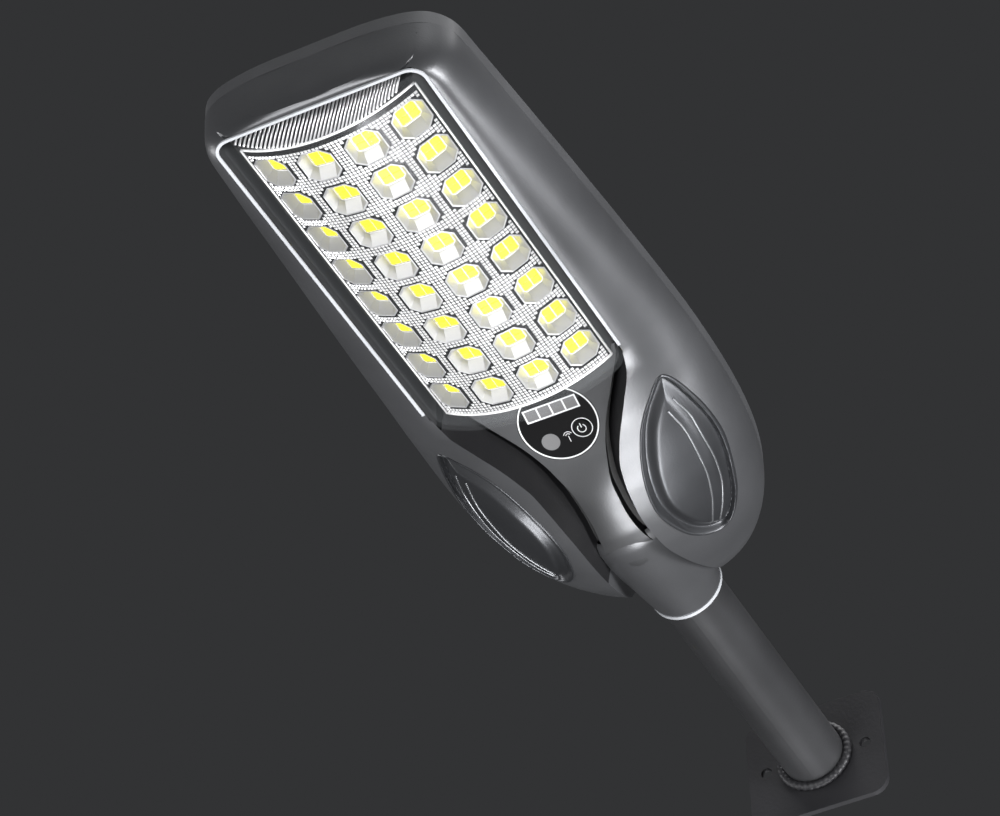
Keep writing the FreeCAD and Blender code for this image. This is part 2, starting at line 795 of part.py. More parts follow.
def gauge_lamps():
    lamps = []
    for x0, x1 in gauge_cells():
        mid = (x0 + x1) / 2
        lamps.append(disc_box(mid - 1.5, mid + 1.5, gauge_y - 1.0, gauge_y + 1.0, -board_drop,
                              -board_drop + 1.2))
    return Part.makeCompound(lamps)


def control_chips():
    chips = [disc_box(-6, 2, -4, 4, -board_drop - 3.0, -board_drop - 1.6),
             disc_box(5, 11, -10, -5, -board_drop - 3.4, -board_drop - 1.6),
             disc_box(6, 12, 2, 8, -board_drop - 3.8, -board_drop - 1.6)]
    return Part.makeCompound(chips)


# ---- eyes and grooves
def groove_trim(side):
    gap = prism(strip_outline([(t, x - seat_gap) for t, x in lobe_line]), -90, parting_z)
    spine = prism(strip_outline([(t, x + seat_gap) for t, x in spine_line]), -95, parting_z + 5)
    strip = gap.cut(spine).common(spine_front(groove_depth)).cut(spine_front(groove_depth - groove_floor))
    x0, x1 = (0.5, 100) if side > 0 else (-100, -0.5)
    return strip.common(box(x0, x1, control_station(0.68), opening_tail - tray_wall - 1, -90, 90))


# ---- battery
def battery_cells():
    first = -(cell_count - 1) / 2 * cell_pitch
    cells = []
    end = battery_tail + cell_length
    for i in range(cell_count):
        x = first + i * cell_pitch
        body = rod_y(cell_radius, battery_tail, end - cell_cap, x, cell_z)
        cells.append(body.fuse(rod_y(cell_cap_radius, end - cell_cap, end, x, cell_z)))
    return Part.makeCompound(cells)


def battery_holder():
    half = cell_count / 2 * cell_pitch + 1.5
    top = parting_z + holder_top
    low = cell_z - holder_drop
    s0 = battery_tail - holder_wall
    s1 = battery_tail + cell_length + holder_wall
    floor = box(-half, half, s0, s1, cell_z + cell_radius + 0.1, top)
    ends = [box(-half, half, s0, battery_tail - holder_clearance, low, top),
            box(-half, half, battery_tail + cell_length + holder_clearance, s1, low, top)]
    sides = [box(-half, -half + holder_side, s0, s1, low, top),
             box(half - holder_side, half, s0, s1, low, top)]
    return floor.multiFuse(ends + sides)


def battery_strap():
    half = cell_count / 2 * cell_pitch + 1.6
    low = cell_z - cell_radius - strap_thickness
    top = parting_z + holder_top
    s0 = battery_tail + strap_setback
    s1 = s0 + strap_width
    outer = box(-half - strap_thickness, half + strap_thickness, s0, s1, low, top)
    return outer.cut(box(-half, half, s0 - 1, s1 + 1, low + strap_thickness - 0.1, top + 1))


# ---- wires: straight runs joined by tangent arcs
def wire_path(points, radius):
    edges = []
    last = points[0]
    for before, corner, after in zip(points, points[1:], points[2:]):
        a = (before - corner).normalize()
        b = (after - corner).normalize()
        half_turn = a.getAngle(b) / 2
        reach = radius / math.tan(half_turn)
        start = corner + a * reach
        end = corner + b * reach
        middle = corner + (a + b).normalize() * (radius / math.sin(half_turn) - radius)
        edges.append(Part.makeLine(last, start))
        edges.append(Part.Arc(start, middle, end).toShape())
        last = end
    edges.append(Part.makeLine(last, points[-1]))
    return Part.Wire(edges)


def wire(points, thickness, bend):
    path = wire_path(points, bend)
    direction = (points[1] - points[0]).normalize()
    ring = Part.Wire([Part.makeCircle(thickness / 2, points[0], direction)])
    return path.makePipeShell([ring], True, False)


def panel_wires():
    top = cover_top - glass_thickness - cell_sheet - backsheet_thickness - 4.5
    far = panel_box_station + 8
    near = disc_station + 2
    runs = []
    for x in (5.0, 8.0):
        points = [V(x, -far, top), V(x, -near - 3, top), V(x + 2, -near - 6, 15.0), V(x + 2, -near - 5, 9.8)]
        runs.append(wire(points, wire_size, 3.0))
    return Part.makeCompound(runs)


def battery_wires():
    start = battery_tail + cell_length + 2.5
    runs = []
    for x in (-10.0, -13.0):
        points = [V(x, -start, cell_z + 5), V(x, -start - 12, cell_z + 5), V(x, -disc_station - 6, 10.4)]
        runs.append(wire(points, wire_size, 4.0))
    return Part.makeCompound(runs)



def main():
    outer = hull()
    inner = hull(wall)
    deep = hull(pad_depth)
    eye_top = hull(eye_depth - eye_inlay)
    eye_floor = hull(eye_depth)
    save("lower_housing", finish_housing(lower_housing(outer, inner, deep), eye_floor))
    for side, name in ((1, "right"), (-1, "left")):
        save(name + "_eye_panel", eye_prism(side, -seat_gap).common(eye_top).cut(eye_floor))
        save(name + "_groove_trim", groove_trim(side))
    save("rim_bead", rim_bead())
    save("wall_flange", wall_flange())
    save("pole_tube", pole_tube())
    save("weld_collar", weld_collar())
    save("pole_socket", pole_socket())
    save("socket_ring", socket_ring())
    save("socket_seal", socket_seal())
    save("pole_lock_screw", pole_lock_screw())
    save("lock_nut", lock_nut())
    save("back_cover", back_cover())
    save("cover_gasket", cover_gasket())
    save("cover_screws", cover_screws())
    back, cells, glass = panel_stack()
    save("solar_backsheet", back)
    save("solar_cells", cells)
    save("solar_glass", glass)
    save("panel_box", panel_box())
    save("reflector", reflector())
    for number, angle in enumerate(column_angles(), 1):
        save("led_board_%d" % number, led_board(angle))
        save("led_chips_%d" % number, led_chips(angle))
    save("heat_spreader", heat_spreader())
    save("lens_cover", lens_cover())
    save("lens_gasket", lens_gasket())
    save("control_bezel", control_bezel())
    save("bezel_ring", bezel_ring())
    save("gauge_frame", gauge_frame())
    save("gauge_windows", gauge_windows())
    save("sensor_window", sensor_window())
    save("power_button", power_button())
    save("button_switch", button_switch())
    save("button_spring", button_spring())
    save("control_board", control_board())
    save("motion_sensor", motion_sensor())
    save("gauge_lamps", gauge_lamps())
    save("control_chips", control_chips())
    save("battery_cells", battery_cells())
    save("battery_holder", battery_holder())
    save("battery_strap", battery_strap())
    save("panel_wires", panel_wires())
    save("battery_wires", battery_wires())


main()
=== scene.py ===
import bmesh
import bpy
import math
import numpy as np
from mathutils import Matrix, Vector
from mathutils.geometry import delaunay_2d_cdt


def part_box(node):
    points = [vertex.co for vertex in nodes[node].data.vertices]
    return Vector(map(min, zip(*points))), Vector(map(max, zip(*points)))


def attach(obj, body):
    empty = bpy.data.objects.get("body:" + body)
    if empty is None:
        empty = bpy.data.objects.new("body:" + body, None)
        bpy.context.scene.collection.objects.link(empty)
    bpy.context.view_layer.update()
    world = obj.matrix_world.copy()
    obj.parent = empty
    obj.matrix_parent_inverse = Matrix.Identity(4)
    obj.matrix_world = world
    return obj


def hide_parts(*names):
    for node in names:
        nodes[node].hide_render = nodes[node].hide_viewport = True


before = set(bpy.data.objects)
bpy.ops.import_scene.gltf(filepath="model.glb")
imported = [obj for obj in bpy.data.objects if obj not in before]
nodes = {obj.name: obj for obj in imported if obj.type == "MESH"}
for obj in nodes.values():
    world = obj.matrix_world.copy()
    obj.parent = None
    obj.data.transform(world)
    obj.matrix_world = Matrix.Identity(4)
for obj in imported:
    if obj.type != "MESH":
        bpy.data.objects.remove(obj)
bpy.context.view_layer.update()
print("frame loaded:", len(nodes), "nodes")

# places read from the frame, in millimetres; a station is a distance from the wall
mm = 0.001


def boxMm(name):
    low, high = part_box(name)
    return [v / mm for v in low], [v / mm for v in high]


boardLow, boardHigh = boxMm("led_board_2")
lensLow, lensHigh = boxMm("lens_cover")
beadLow, beadHigh = boxMm("rim_bead")
head = {
    "tail": 182.0, "length": 436.0, "halfWidth": 85.36, "widest": 0.404, "taper": 17.0,
    "corner": 34.0, "tailPower": 2.7, "cornerPower": 3.7, "jointZ": boxMm("back_cover")[0][2],
    "rimZ": beadLow[2] + 0.8, "rimSoftness": 1.2}
head["tip"] = head["tail"] + head["length"]
opening = {
    "half": beadHigh[0] - 1.6, "tip": -lensLow[1] + 0.6, "tail": -lensHigh[1] - 0.6, "corner": 8.0,
    "floorZ": 14.5}
control = {"setback": 30.5, "z": -4.8, "tilt": math.radians(21.0), "radius": 22.3}
control["length"] = opening["tail"] - head["tail"]
control["station"] = opening["tail"] - control["setback"]
light = {"pitch": 26.5, "rows": 8, "columns": 4, "angle": math.radians(16.67), "chipRadius": 84.3,
         "cupDepth": 5.8, "chipZ": -11.4, "middle": -(boardLow[1] + boardHigh[1]) / 2}
light["arcZ"] = light["chipZ"] + light["chipRadius"] * math.cos(light["angle"] / 2)
light["frontRadius"] = light["chipRadius"] + light["cupDepth"]


# mesh helpers
def makeMesh(name, points, faces, material=None, smooth=True):
    mesh = bpy.data.meshes.new(name)
    mesh.from_pydata([tuple(p) for p in np.asarray(points, float) * mm], [], faces)
    mesh.update()
    if material:
        mesh.materials.append(material)
    mesh.polygons.foreach_set("use_smooth", [smooth] * len(mesh.polygons))
    piece = bpy.data.objects.new(name, mesh)
    bpy.context.scene.collection.objects.link(piece)
    return piece


def gridFaces(rows, columns, closed=False, flip=False, offset=0):
    faces = []
    last = columns if closed else columns - 1
    for i in range(rows - 1):
        for j in range(last):
            a = offset + i * columns + j
            b = offset + i * columns + (j + 1) % columns
            face = (a, b, b + columns, a + columns)
            faces.append(face[::-1] if flip else face)
    return faces


def mergeAndTurn(piece, distance=0.02):
    work = bmesh.new()
    work.from_mesh(piece.data)
    bmesh.ops.remove_doubles(work, verts=work.verts, dist=distance * mm)
    bmesh.ops.dissolve_degenerate(work, edges=work.edges, dist=0.001 * mm)
    bmesh.ops.recalc_face_normals(work, faces=work.faces)
    work.to_mesh(piece.data)
    work.free()
    return piece


def creaseBy(piece, degrees):
    piece.data.set_sharp_from_angle(angle=math.radians(degrees))
    return piece


def applied(piece):
    # the evaluated result as a plain mesh, with no modifier left
    graph = bpy.context.evaluated_depsgraph_get()
    mesh = bpy.data.meshes.new_from_object(piece.evaluated_get(graph))
    piece.modifiers.clear()
    if piece.type == "MESH":
        piece.data = mesh
        return piece
    name = piece.name
    bpy.data.objects.remove(piece)
    plain = bpy.data.objects.new(name, mesh)
    bpy.context.scene.collection.objects.link(plain)
    return plain


def joined(name, pieces):
    # several meshes made one object
    points, faces, materials, marks = [], [], [], []
    for piece in pieces:
        base = len(points)
        points += [v.co.copy() for v in piece.data.vertices]
        for slot in piece.data.materials:
            if slot not in materials:
                materials.append(slot)
        for face in piece.data.polygons:
            faces.append([base + v for v in face.vertices])
            slot = piece.data.materials[face.material_index] if piece.data.materials else None
            marks.append((materials.index(slot) if slot else 0, face.use_smooth))
    mesh = bpy.data.meshes.new(name)
    mesh.from_pydata(points, [], faces)
    for slot in materials:
        mesh.materials.append(slot)
    mesh.update()
    mesh.polygons.foreach_set("material_index", [m for m, s in marks])
    mesh.polygons.foreach_set("use_smooth", [s for m, s in marks])
    for piece in pieces:
        bpy.data.objects.remove(piece)
    whole = bpy.data.objects.new(name, mesh)
    bpy.context.scene.collection.objects.link(whole)
    return whole


def finishPiece(piece, body, slot, *replaced):
    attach(piece, body)
    if replaced:
        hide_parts(*replaced)
    return piece


# shape of the head, the same rule as the frame's
hullForm = [
    (0.004, 13.0, 2.6), (0.016, 23.0, 2.4), (0.040, 34.0, 2.2), (0.080, 44.5, 2.0),
    (0.135, 54.0, 2.0), (0.190, 60.0, 2.0), (0.240, 61.5, 2.0), (0.290, 59.5, 2.0),
    (0.340, 54.0, 2.0), (0.390, 48.0, 2.0), (0.450, 44.5, 2.0), (0.550, 43.0, 2.15),
    (0.720, 43.0, 2.4), (0.860, 43.0, 2.8), (0.935, 42.0, 3.1), (0.970, 40.0, 3.7),
    (0.990, 35.0, 4.6), (0.998, 29.0, 5.6)]
lobeLine = [(-0.05, 56.3), (0.014, 53.0), (0.095, 43.7), (0.204, 30.5), (0.265, 25.3),
            (0.367, 21.8), (0.476, 20.2), (0.585, 20.6), (0.70, 22.6), (0.83, 25.5), (1.02, 30.0)]
spineLine = [(-0.05, 50.3), (0.014, 47.5), (0.095, 37.5), (0.204, 23.3), (0.286, 15.9),
             (0.381, 10.9), (0.463, 10.3), (0.537, 11.7), (0.626, 15.4), (0.70, 19.0), (1.02, 29.0)]
slopeZ = math.tan(control["tilt"])
spineRise = [(-0.05, control["z"] + slopeZ * (control["setback"] + 0.05 * control["length"])),
             (0.05, control["z"] + slopeZ * (control["setback"] - 0.05 * control["length"])),
             (control["setback"] / control["length"], control["z"]), (0.272, -13.5), (0.381, -22.8),
             (0.463, -27.8), (0.537, -30.5), (0.626, -30.5), (0.721, -27.3), (0.830, -16.7),
             (0.925, -2.0), (0.992, 15.0), (1.02, 20.0)]


def curveThrough(pairs, at):
    # cubic Hermite through the pairs, with slopes from the neighbours
    xs = np.array([p[0] for p in pairs], float)
    ys = np.array([p[1] for p in pairs], float)
    step = np.diff(xs)
    rise = np.diff(ys) / step
    slope = np.empty(len(xs))
    slope[0], slope[-1] = rise[0], rise[-1]
    for k in range(1, len(xs) - 1):
        same = rise[k - 1] * rise[k] > 0
        slope[k] = 2 * rise[k - 1] * rise[k] / (rise[k - 1] + rise[k]) if same else 0.0
    at = np.clip(np.asarray(at, float), xs[0], xs[-1])
    k = np.clip(np.searchsorted(xs, at) - 1, 0, len(step) - 1)
    t = (at - xs[k]) / step[k]
    h = step[k]
    return ((2 * t**3 - 3 * t**2 + 1) * ys[k] + (t**3 - 2 * t**2 + t) * h * slope[k]
            + (-2 * t**3 + 3 * t**2) * ys[k + 1] + (t**3 - t**2) * h * slope[k + 1])


def halfWidth(station, inset=0.0):
    share = np.clip((station - head["tail"] - inset) / (head["length"] - 2 * inset), 0, 1)
    rest = np.clip(1 - share / head["widest"], 0, 1)
    run = np.clip((share - head["widest"]) / (1 - head["widest"]), 0, 1)
    width = head["halfWidth"] * (1 - rest ** head["tailPower"]) ** (1 / head["tailPower"])
    width = width - head["taper"] * run ** 1.3
    width = width * (1 - inset / head["halfWidth"])
    start = 1 - head["corner"] / head["length"]
    turn = np.clip((share - start) / (1 - start), 0, 1)
    return width * (1 - turn ** head["cornerPower"]) ** (1 / head["cornerPower"])


def crown(station):
    return curveThrough([(a, b) for a, b, c in hullForm], (station - head["tail"]) / head["length"])


def squareness(station):
    return curveThrough([(a, c) for a, b, c in hullForm], (station - head["tail"]) / head["length"])


def hullZ(x, station):
    power = squareness(station)
    part = np.clip(np.abs(x) / np.maximum(halfWidth(station), 1e-6), 0, 1)
    z = head["jointZ"] - crown(station) * (1 - part ** power) ** (1 / power)
    flat = np.clip((station - opening["tail"] + 6) / 14, 0, 1)
    soft = head["rimZ"] + head["rimSoftness"] * np.log1p(np.exp((z - head["rimZ"]) / head["rimSoftness"]))
    return z + (soft - z) * flat


def controlShare(station):
    return (opening["tail"] - station) / control["length"]


def openingEdge(station):
    # half width of the light opening, or of the gap between the lobes behind it
    straight = opening["tip"] - opening["corner"]
    into = np.clip(station - straight, 0, opening["corner"])
    rounded = opening["half"] - opening["corner"] + np.sqrt(opening["corner"] ** 2 - into ** 2)
    lobes = curveThrough(lobeLine, controlShare(station))
    return np.where(station > opening["tail"] + 8, rounded, np.minimum(lobes, opening["half"]))


# materials
def addSocket(tree, name, kind, way, value=None):
    socket = tree.interface.new_socket(name=name, in_out=way, socket_type="NodeSocket" + kind)
    if value is not None:
        socket.default_value = value


def addNode(tree, kind, values=(), **settings):
    # a node with its settings, and the values of its inputs
    node = tree.nodes.new(kind)
    for name, value in settings.items():
        setattr(node, name, value)
    for name, value in values:
        node.inputs[name].default_value = value
    return node


def makeGrainGroup():
    # fine moulded grain: colour mottling, roughness variation and a bump normal
    group = bpy.data.node_groups.new("mouldedGrain", "ShaderNodeTree")
    addSocket(group, "Color", "Color", "INPUT", (0.05, 0.05, 0.055, 1))
    for name, value in (("Grain Size", 900.0), ("Grain Depth", 0.12), ("Roughness", 0.38), ("Mottle", 0.15)):
        addSocket(group, name, "Float", "INPUT", value)
    for name, kind in (("Base Color", "Color"), ("Roughness", "Float"), ("Normal", "Vector")):
        addSocket(group, name, kind, "OUTPUT")
    link = group.links.new
    ins, outs = addNode(group, "NodeGroupInput"), addNode(group, "NodeGroupOutput")
    place = addNode(group, "ShaderNodeTexCoord")
    grain = addNode(group, "ShaderNodeTexNoise", [("Detail", 3.0)])
    link(place.outputs["Object"], grain.inputs["Vector"])
    link(ins.outputs["Grain Size"], grain.inputs["Scale"])
    bump = addNode(group, "ShaderNodeBump", [("Distance", 0.0004)])
    link(ins.outputs["Grain Depth"], bump.inputs["Strength"])
    link(grain.outputs["Fac"], bump.inputs["Height"])
    cloud = addNode(group, "ShaderNodeTexNoise", [("Scale", 14.0), ("Detail", 4.0)])
    link(place.outputs["Object"], cloud.inputs["Vector"])
    shade = addNode(group, "ShaderNodeMapRange", [("From Min", 0.3), ("From Max", 0.7), ("To Min", -1.0),
                                                  ("To Max", 1.0)])
    link(cloud.outputs["Fac"], shade.inputs["Value"])
    amount = addNode(group, "ShaderNodeMath", operation="MULTIPLY")
    link(shade.outputs["Result"], amount.inputs[0])
    link(ins.outputs["Mottle"], amount.inputs[1])
    lift = addNode(group, "ShaderNodeMath", [(1, 1.0)], operation="ADD")
    link(amount.outputs["Value"], lift.inputs[0])
    scale = addNode(group, "ShaderNodeVectorMath", operation="SCALE")
    link(ins.outputs["Color"], scale.inputs[0])
    link(lift.outputs["Value"], scale.inputs["Scale"])
    link(scale.outputs["Vector"], outs.inputs["Base Color"])
    rough = addNode(group, "ShaderNodeMath", operation="MULTIPLY")
    link(ins.outputs["Roughness"], rough.inputs[0])
    link(lift.outputs["Value"], rough.inputs[1])
    link(rough.outputs["Value"], outs.inputs["Roughness"])
    link(bump.outputs["Normal"], outs.inputs["Normal"])
    return group


grainGroup = makeGrainGroup()


def mouldedMaterial(name, color, roughness, metallic=0.0, coat=0.0, size=900.0, depth=0.12, mottle=0.12,
                    specular=0.5):
    material = bpy.data.materials.new(name)
    material.use_nodes = True
    tree = material.node_tree
    shader = tree.nodes["Principled BSDF"]
    grain = addNode(tree, "ShaderNodeGroup", node_tree=grainGroup)
    for socket, value in (("Color", (*color, 1)), ("Grain Size", size), ("Grain Depth", depth),
                          ("Roughness", roughness), ("Mottle", mottle)):
        grain.inputs[socket].default_value = value
    for socket in ("Base Color", "Roughness", "Normal"):
        tree.links.new(grain.outputs[socket], shader.inputs[socket])
    for socket, value in (("Metallic", metallic), ("Coat Weight", coat), ("Coat Roughness", 0.25),
                          ("Specular IOR Level", specular)):
        shader.inputs[socket].default_value = value
    return material


def clearMaterial(name, color, alpha):
    material = mouldedMaterial(name, color, 0.03, depth=0.01, mottle=0.02)
    shader = material.node_tree.nodes["Principled BSDF"]
    shader.inputs["Alpha"].default_value = alpha
    shader.inputs["IOR"].default_value = 1.3
    return material


paint = {
    "charcoal": mouldedMaterial("charcoalShell", (0.082, 0.084, 0.09), 0.36, metallic=0.5, coat=0.08),
    "spine": mouldedMaterial("charcoalSpine", (0.085, 0.087, 0.092), 0.4, metallic=0.7, coat=0.05),
    "cover": mouldedMaterial("coverShell", (0.085, 0.087, 0.093), 0.42, metallic=0.4),
    "tray": mouldedMaterial("trayBlack", (0.004, 0.004, 0.005), 0.6, depth=0.2),
    # painted shade: the grooves beside the spine are the shell's own surface, drawn near black to stand for
    # their shadow
    "groove": mouldedMaterial("grooveBlack", (0.006, 0.006, 0.007), 0.55, specular=0.25),
    "eye": mouldedMaterial("eyeShell", (0.05, 0.052, 0.057), 0.36, metallic=0.7, coat=0.1),
    # painted highlight: the eye ribs share the panel's colour, lightened here so they read as lit lines
    "lip": mouldedMaterial("lipShell", (0.16, 0.165, 0.175), 0.3, metallic=0.7),
    "pole": mouldedMaterial("polePaint", (0.06, 0.061, 0.065), 0.34, metallic=0.6, coat=0.15, size=500,
                            depth=0.2),
    "plate": mouldedMaterial("platePaint", (0.022, 0.022, 0.025), 0.45, metallic=0.3, size=500, depth=0.25),
    "steel": mouldedMaterial("zincSteel", (0.55, 0.56, 0.58), 0.3, metallic=1.0, depth=0.1),
    "bead": mouldedMaterial("rimBeadPale", (0.62, 0.64, 0.68), 0.25, metallic=0.4, coat=0.3),
    "seal": mouldedMaterial("sealRubber", (0.006, 0.006, 0.006), 0.65, depth=0.2),
    # painted shade: the silver reflector sheet is made near black to stand for the shadows between the studs;
    # its ends and the end wall use it too
    "reflectorShade": mouldedMaterial("reflectorSilver", (0.035, 0.035, 0.037), 0.2, metallic=0.9, depth=0.03),
    # silver studs made near white: partly their own silver, partly a painted highlight against the dark sheet
    "stud": mouldedMaterial("studSilver", (0.95, 0.95, 0.96), 0.22, metallic=0.55, depth=0.02, mottle=0.03),
    "cup": mouldedMaterial("cupSilver", (0.4, 0.4, 0.41), 0.42, metallic=0.55, depth=0.02, mottle=0.03),
    "ribs": mouldedMaterial("ribSilver", (0.9, 0.9, 0.92), 0.25, metallic=0.6, depth=0.02, mottle=0.03),
    # painted highlight: white for the reflector's edge tubes and the line round each cup floor
    "edgeHighlight": mouldedMaterial("edgeWhite", (0.92, 0.92, 0.93), 0.3, metallic=0.3, depth=0.02),
    "white": mouldedMaterial("whiteBoard", (0.85, 0.86, 0.88), 0.35, depth=0.05, mottle=0.04),
    "chip": mouldedMaterial("phosphorYellow", (1.0, 0.92, 0.02), 0.35, depth=0.05, mottle=0.04),
    "gloss": mouldedMaterial("discBlack", (0.0015, 0.0015, 0.002), 0.4, depth=0.02, mottle=0.05, specular=0.15),
    "print": mouldedMaterial("printWhite", (0.8, 0.81, 0.83), 0.4, depth=0.03, mottle=0.05),
    "window": mouldedMaterial("windowGrey", (0.16, 0.16, 0.165), 0.35, depth=0.05, mottle=0.08),
    "board": mouldedMaterial("boardGreen", (0.02, 0.12, 0.04), 0.4),
    "dark": mouldedMaterial("darkPlastic", (0.012, 0.012, 0.013), 0.5),
    "wrap": mouldedMaterial("cellWrap", (0.03, 0.12, 0.35), 0.3),
    "wire": mouldedMaterial("wireRed", (0.3, 0.015, 0.012), 0.45),
    "cell": mouldedMaterial("siliconCell", (0.006, 0.01, 0.03), 0.3, metallic=0.3, coat=0.4, size=300,
                            mottle=0.35),
    "back": mouldedMaterial("backFilm", (0.02, 0.02, 0.025), 0.4),
    "lens": clearMaterial("lensClear", (0.9, 0.95, 1.0), 0.012),
    "glass": clearMaterial("panelGlass", (0.5, 0.6, 0.8), 0.12)}
# painted glow: emission keeps the unlit yellow phosphor vivid; the LEDs are not switched on
chipGlowShader = paint["chip"].node_tree.nodes["Principled BSDF"]
chipGlowShader.inputs["Emission Color"].default_value = (1.0, 0.9, 0.0, 1)
chipGlowShader.inputs["Emission Strength"].default_value = 0.9
print("materials made:", len(paint))

# camera, floor and lights first
cameraSet = {"place": (0.64143, -1.76095, -1.38762), "turn": (131.950, 1.536, 26.891), "lens": 141.555,
             "near": 0.05, "far": 40.0}


def makeCamera():
    data = bpy.data.cameras.new("camera")
    data.lens = cameraSet["lens"]
    data.clip_start = cameraSet["near"]
    data.clip_end = cameraSet["far"]
    camera = bpy.data.objects.new("camera", data)
    camera.location = cameraSet["place"]
    camera.rotation_euler = [math.radians(a) for a in cameraSet["turn"]]
    bpy.context.scene.collection.objects.link(camera)
    bpy.context.scene.camera = camera


makeCamera()
stage = {"floorZ": -2.3, "floorSize": 14.0, "worldColor": (0.80, 0.82, 0.86), "worldStrength": 0.04,
         "aim": (0.0, -0.40, 0.0),
         "lights": {"keySoft": ((1.7, -0.3, -0.75), (1.5, 0.45), 62.0),  # place, size, power
                    "lowSoft": ((0.25, 0.35, -1.9), (0.9, 0.7), 46.0),
                    "frontSoft": ((-0.5, -2.2, -0.9), (0.5, 0.9), 26.0),
                    "leftEdge": ((-1.7, -0.5, -0.15), (0.3, 1.7), 16.0),
                    "topSoft": ((0.3, -0.5, 2.0), (2.2, 2.2), 55.0)}}


def makeStage():
    half = stage["floorSize"] / 2 / mm
    z = stage["floorZ"] / mm
    pale = mouldedMaterial("paleFloor", (0.75, 0.75, 0.74), 0.7, depth=0.02, mottle=0.01)
    corners = [(-half, -half, z), (half, -half, z), (half, half, z), (-half, half, z)]
    makeMesh("floor", corners, [(0, 1, 2, 3)], pale)
    world = bpy.data.worlds.new("studio")
    world.use_nodes = True
    back = world.node_tree.nodes["Background"]
    back.inputs["Color"].default_value = (*stage["worldColor"], 1)
    back.inputs["Strength"].default_value = stage["worldStrength"]
    bpy.context.scene.world = world


def areaLight(name, place, size, power):
    data = bpy.data.lights.new(name, "AREA")
    data.shape = "RECTANGLE"
    data.size, data.size_y = size
    data.energy = power
    lamp = bpy.data.objects.new(name, data)
    lamp.location = place
    lamp.rotation_euler = (Vector(stage["aim"]) - Vector(place)).to_track_quat("-Z", "Y").to_euler()
    bpy.context.scene.collection.objects.link(lamp)


makeStage()
for name, values in stage["lights"].items():
    areaLight(name, *values)
print("stage ready")


# lower housing
skin = {"outerColumns": 44, "spineColumns": 15, "grooveDepth": 6.0, "eyeRecess": 7.0, "eyeClear": 0.7,
        "seatGap": 0.1, "seatDepth": 2.4, "seatClear": 0.6, "tailStep": 1.35, "lightStep": 2.6,
        "capRings": 7, "capBulge": 0.9, "grooveEnd": 0.70,
        "fadeEnd": 0.73, "fadeRun": 0.12, "tailShare": 0.004, "edgeLimit": 0.97,
        "tipShares": (0.9895, 0.991, 0.9925, 0.994, 0.9955, 0.997, 0.998),
        "fall": ((1.6, 0.30, 0.12), (8.5, 0.58, 0.16)),  # the spine's edges: drop, share where it starts, run
        "crease": 38}
eyePoints = [(14.8, 60.0), (22.0, 34.0), (23.5, 5.5), (19.0, -19.5), (11.5, -41.0), (1.0, -54.5),
             (-9.0, -51.5), (-18.0, -36.0), (-23.0, -10.5), (-19.5, 14.5), (-9.8, 38.5), (3.0, 54.0)]
eye = {"x": 51.6, "station": opening["tail"] - 79.5, "steps": 200}


def closedCurve(points, count):
    # smooth closed curve through the points
    pts = np.array(points, float)
    n = len(pts)
    tangent = (np.roll(pts, -1, 0) - np.roll(pts, 1, 0)) / 2
    out = []
    for k in range(count):
        at = k * n / count
        i = int(at) % n
        t = at - int(at)
        a, b = pts[i], pts[(i + 1) % n]
        ta, tb = tangent[i], tangent[(i + 1) % n]
        out.append((2 * t**3 - 3 * t**2 + 1) * a + (t**3 - 2 * t**2 + t) * ta
                   + (-2 * t**3 + 3 * t**2) * b + (t**3 - t**2) * tb)
    return np.array(out)


def eyeOutline(side):
    outline = closedCurve(eyePoints, eye["steps"])
    return np.stack([side * (eye["x"] + outline[:, 0]), eye["station"] + outline[:, 1]], 1)


def housingStations():
    tailEnd = head["tail"] + skin["tailShare"] * head["length"]
    first = np.arange(tailEnd, opening["tail"] + 9, skin["tailStep"])
    straight = opening["tip"] - opening["corner"]
    second = np.linspace(opening["tail"] + 10, straight, int((straight - opening["tail"]) / skin["lightStep"]))
    corner = straight + opening["corner"] * np.sin(np.linspace(0.12, math.pi / 2, 9))
    last = head["tail"] + head["length"] * np.array(skin["tipShares"])
    return np.concatenate([first, second, corner, last[last > opening["tip"] + 0.1]])


def sideColumns(station, side):
    # from the edge of the gap out to the joint, along the hull
    width = float(halfWidth(station))
    power = float(squareness(station))
    edge = min(float(openingEdge(station)), skin["edgeLimit"] * width) if station <= opening["tip"] else 0.0
    start = math.asin(min(1.0, (edge / width) ** (power / 2)))
    angles = start + (math.pi / 2 - start) * np.linspace(0, 1, skin["outerColumns"])
    x = width * np.sin(angles) ** (2 / power)
    x[0] = edge
    x[-1] = width
    return np.stack([side * x, np.full_like(x, -station), hullZ(x, station)], 1)


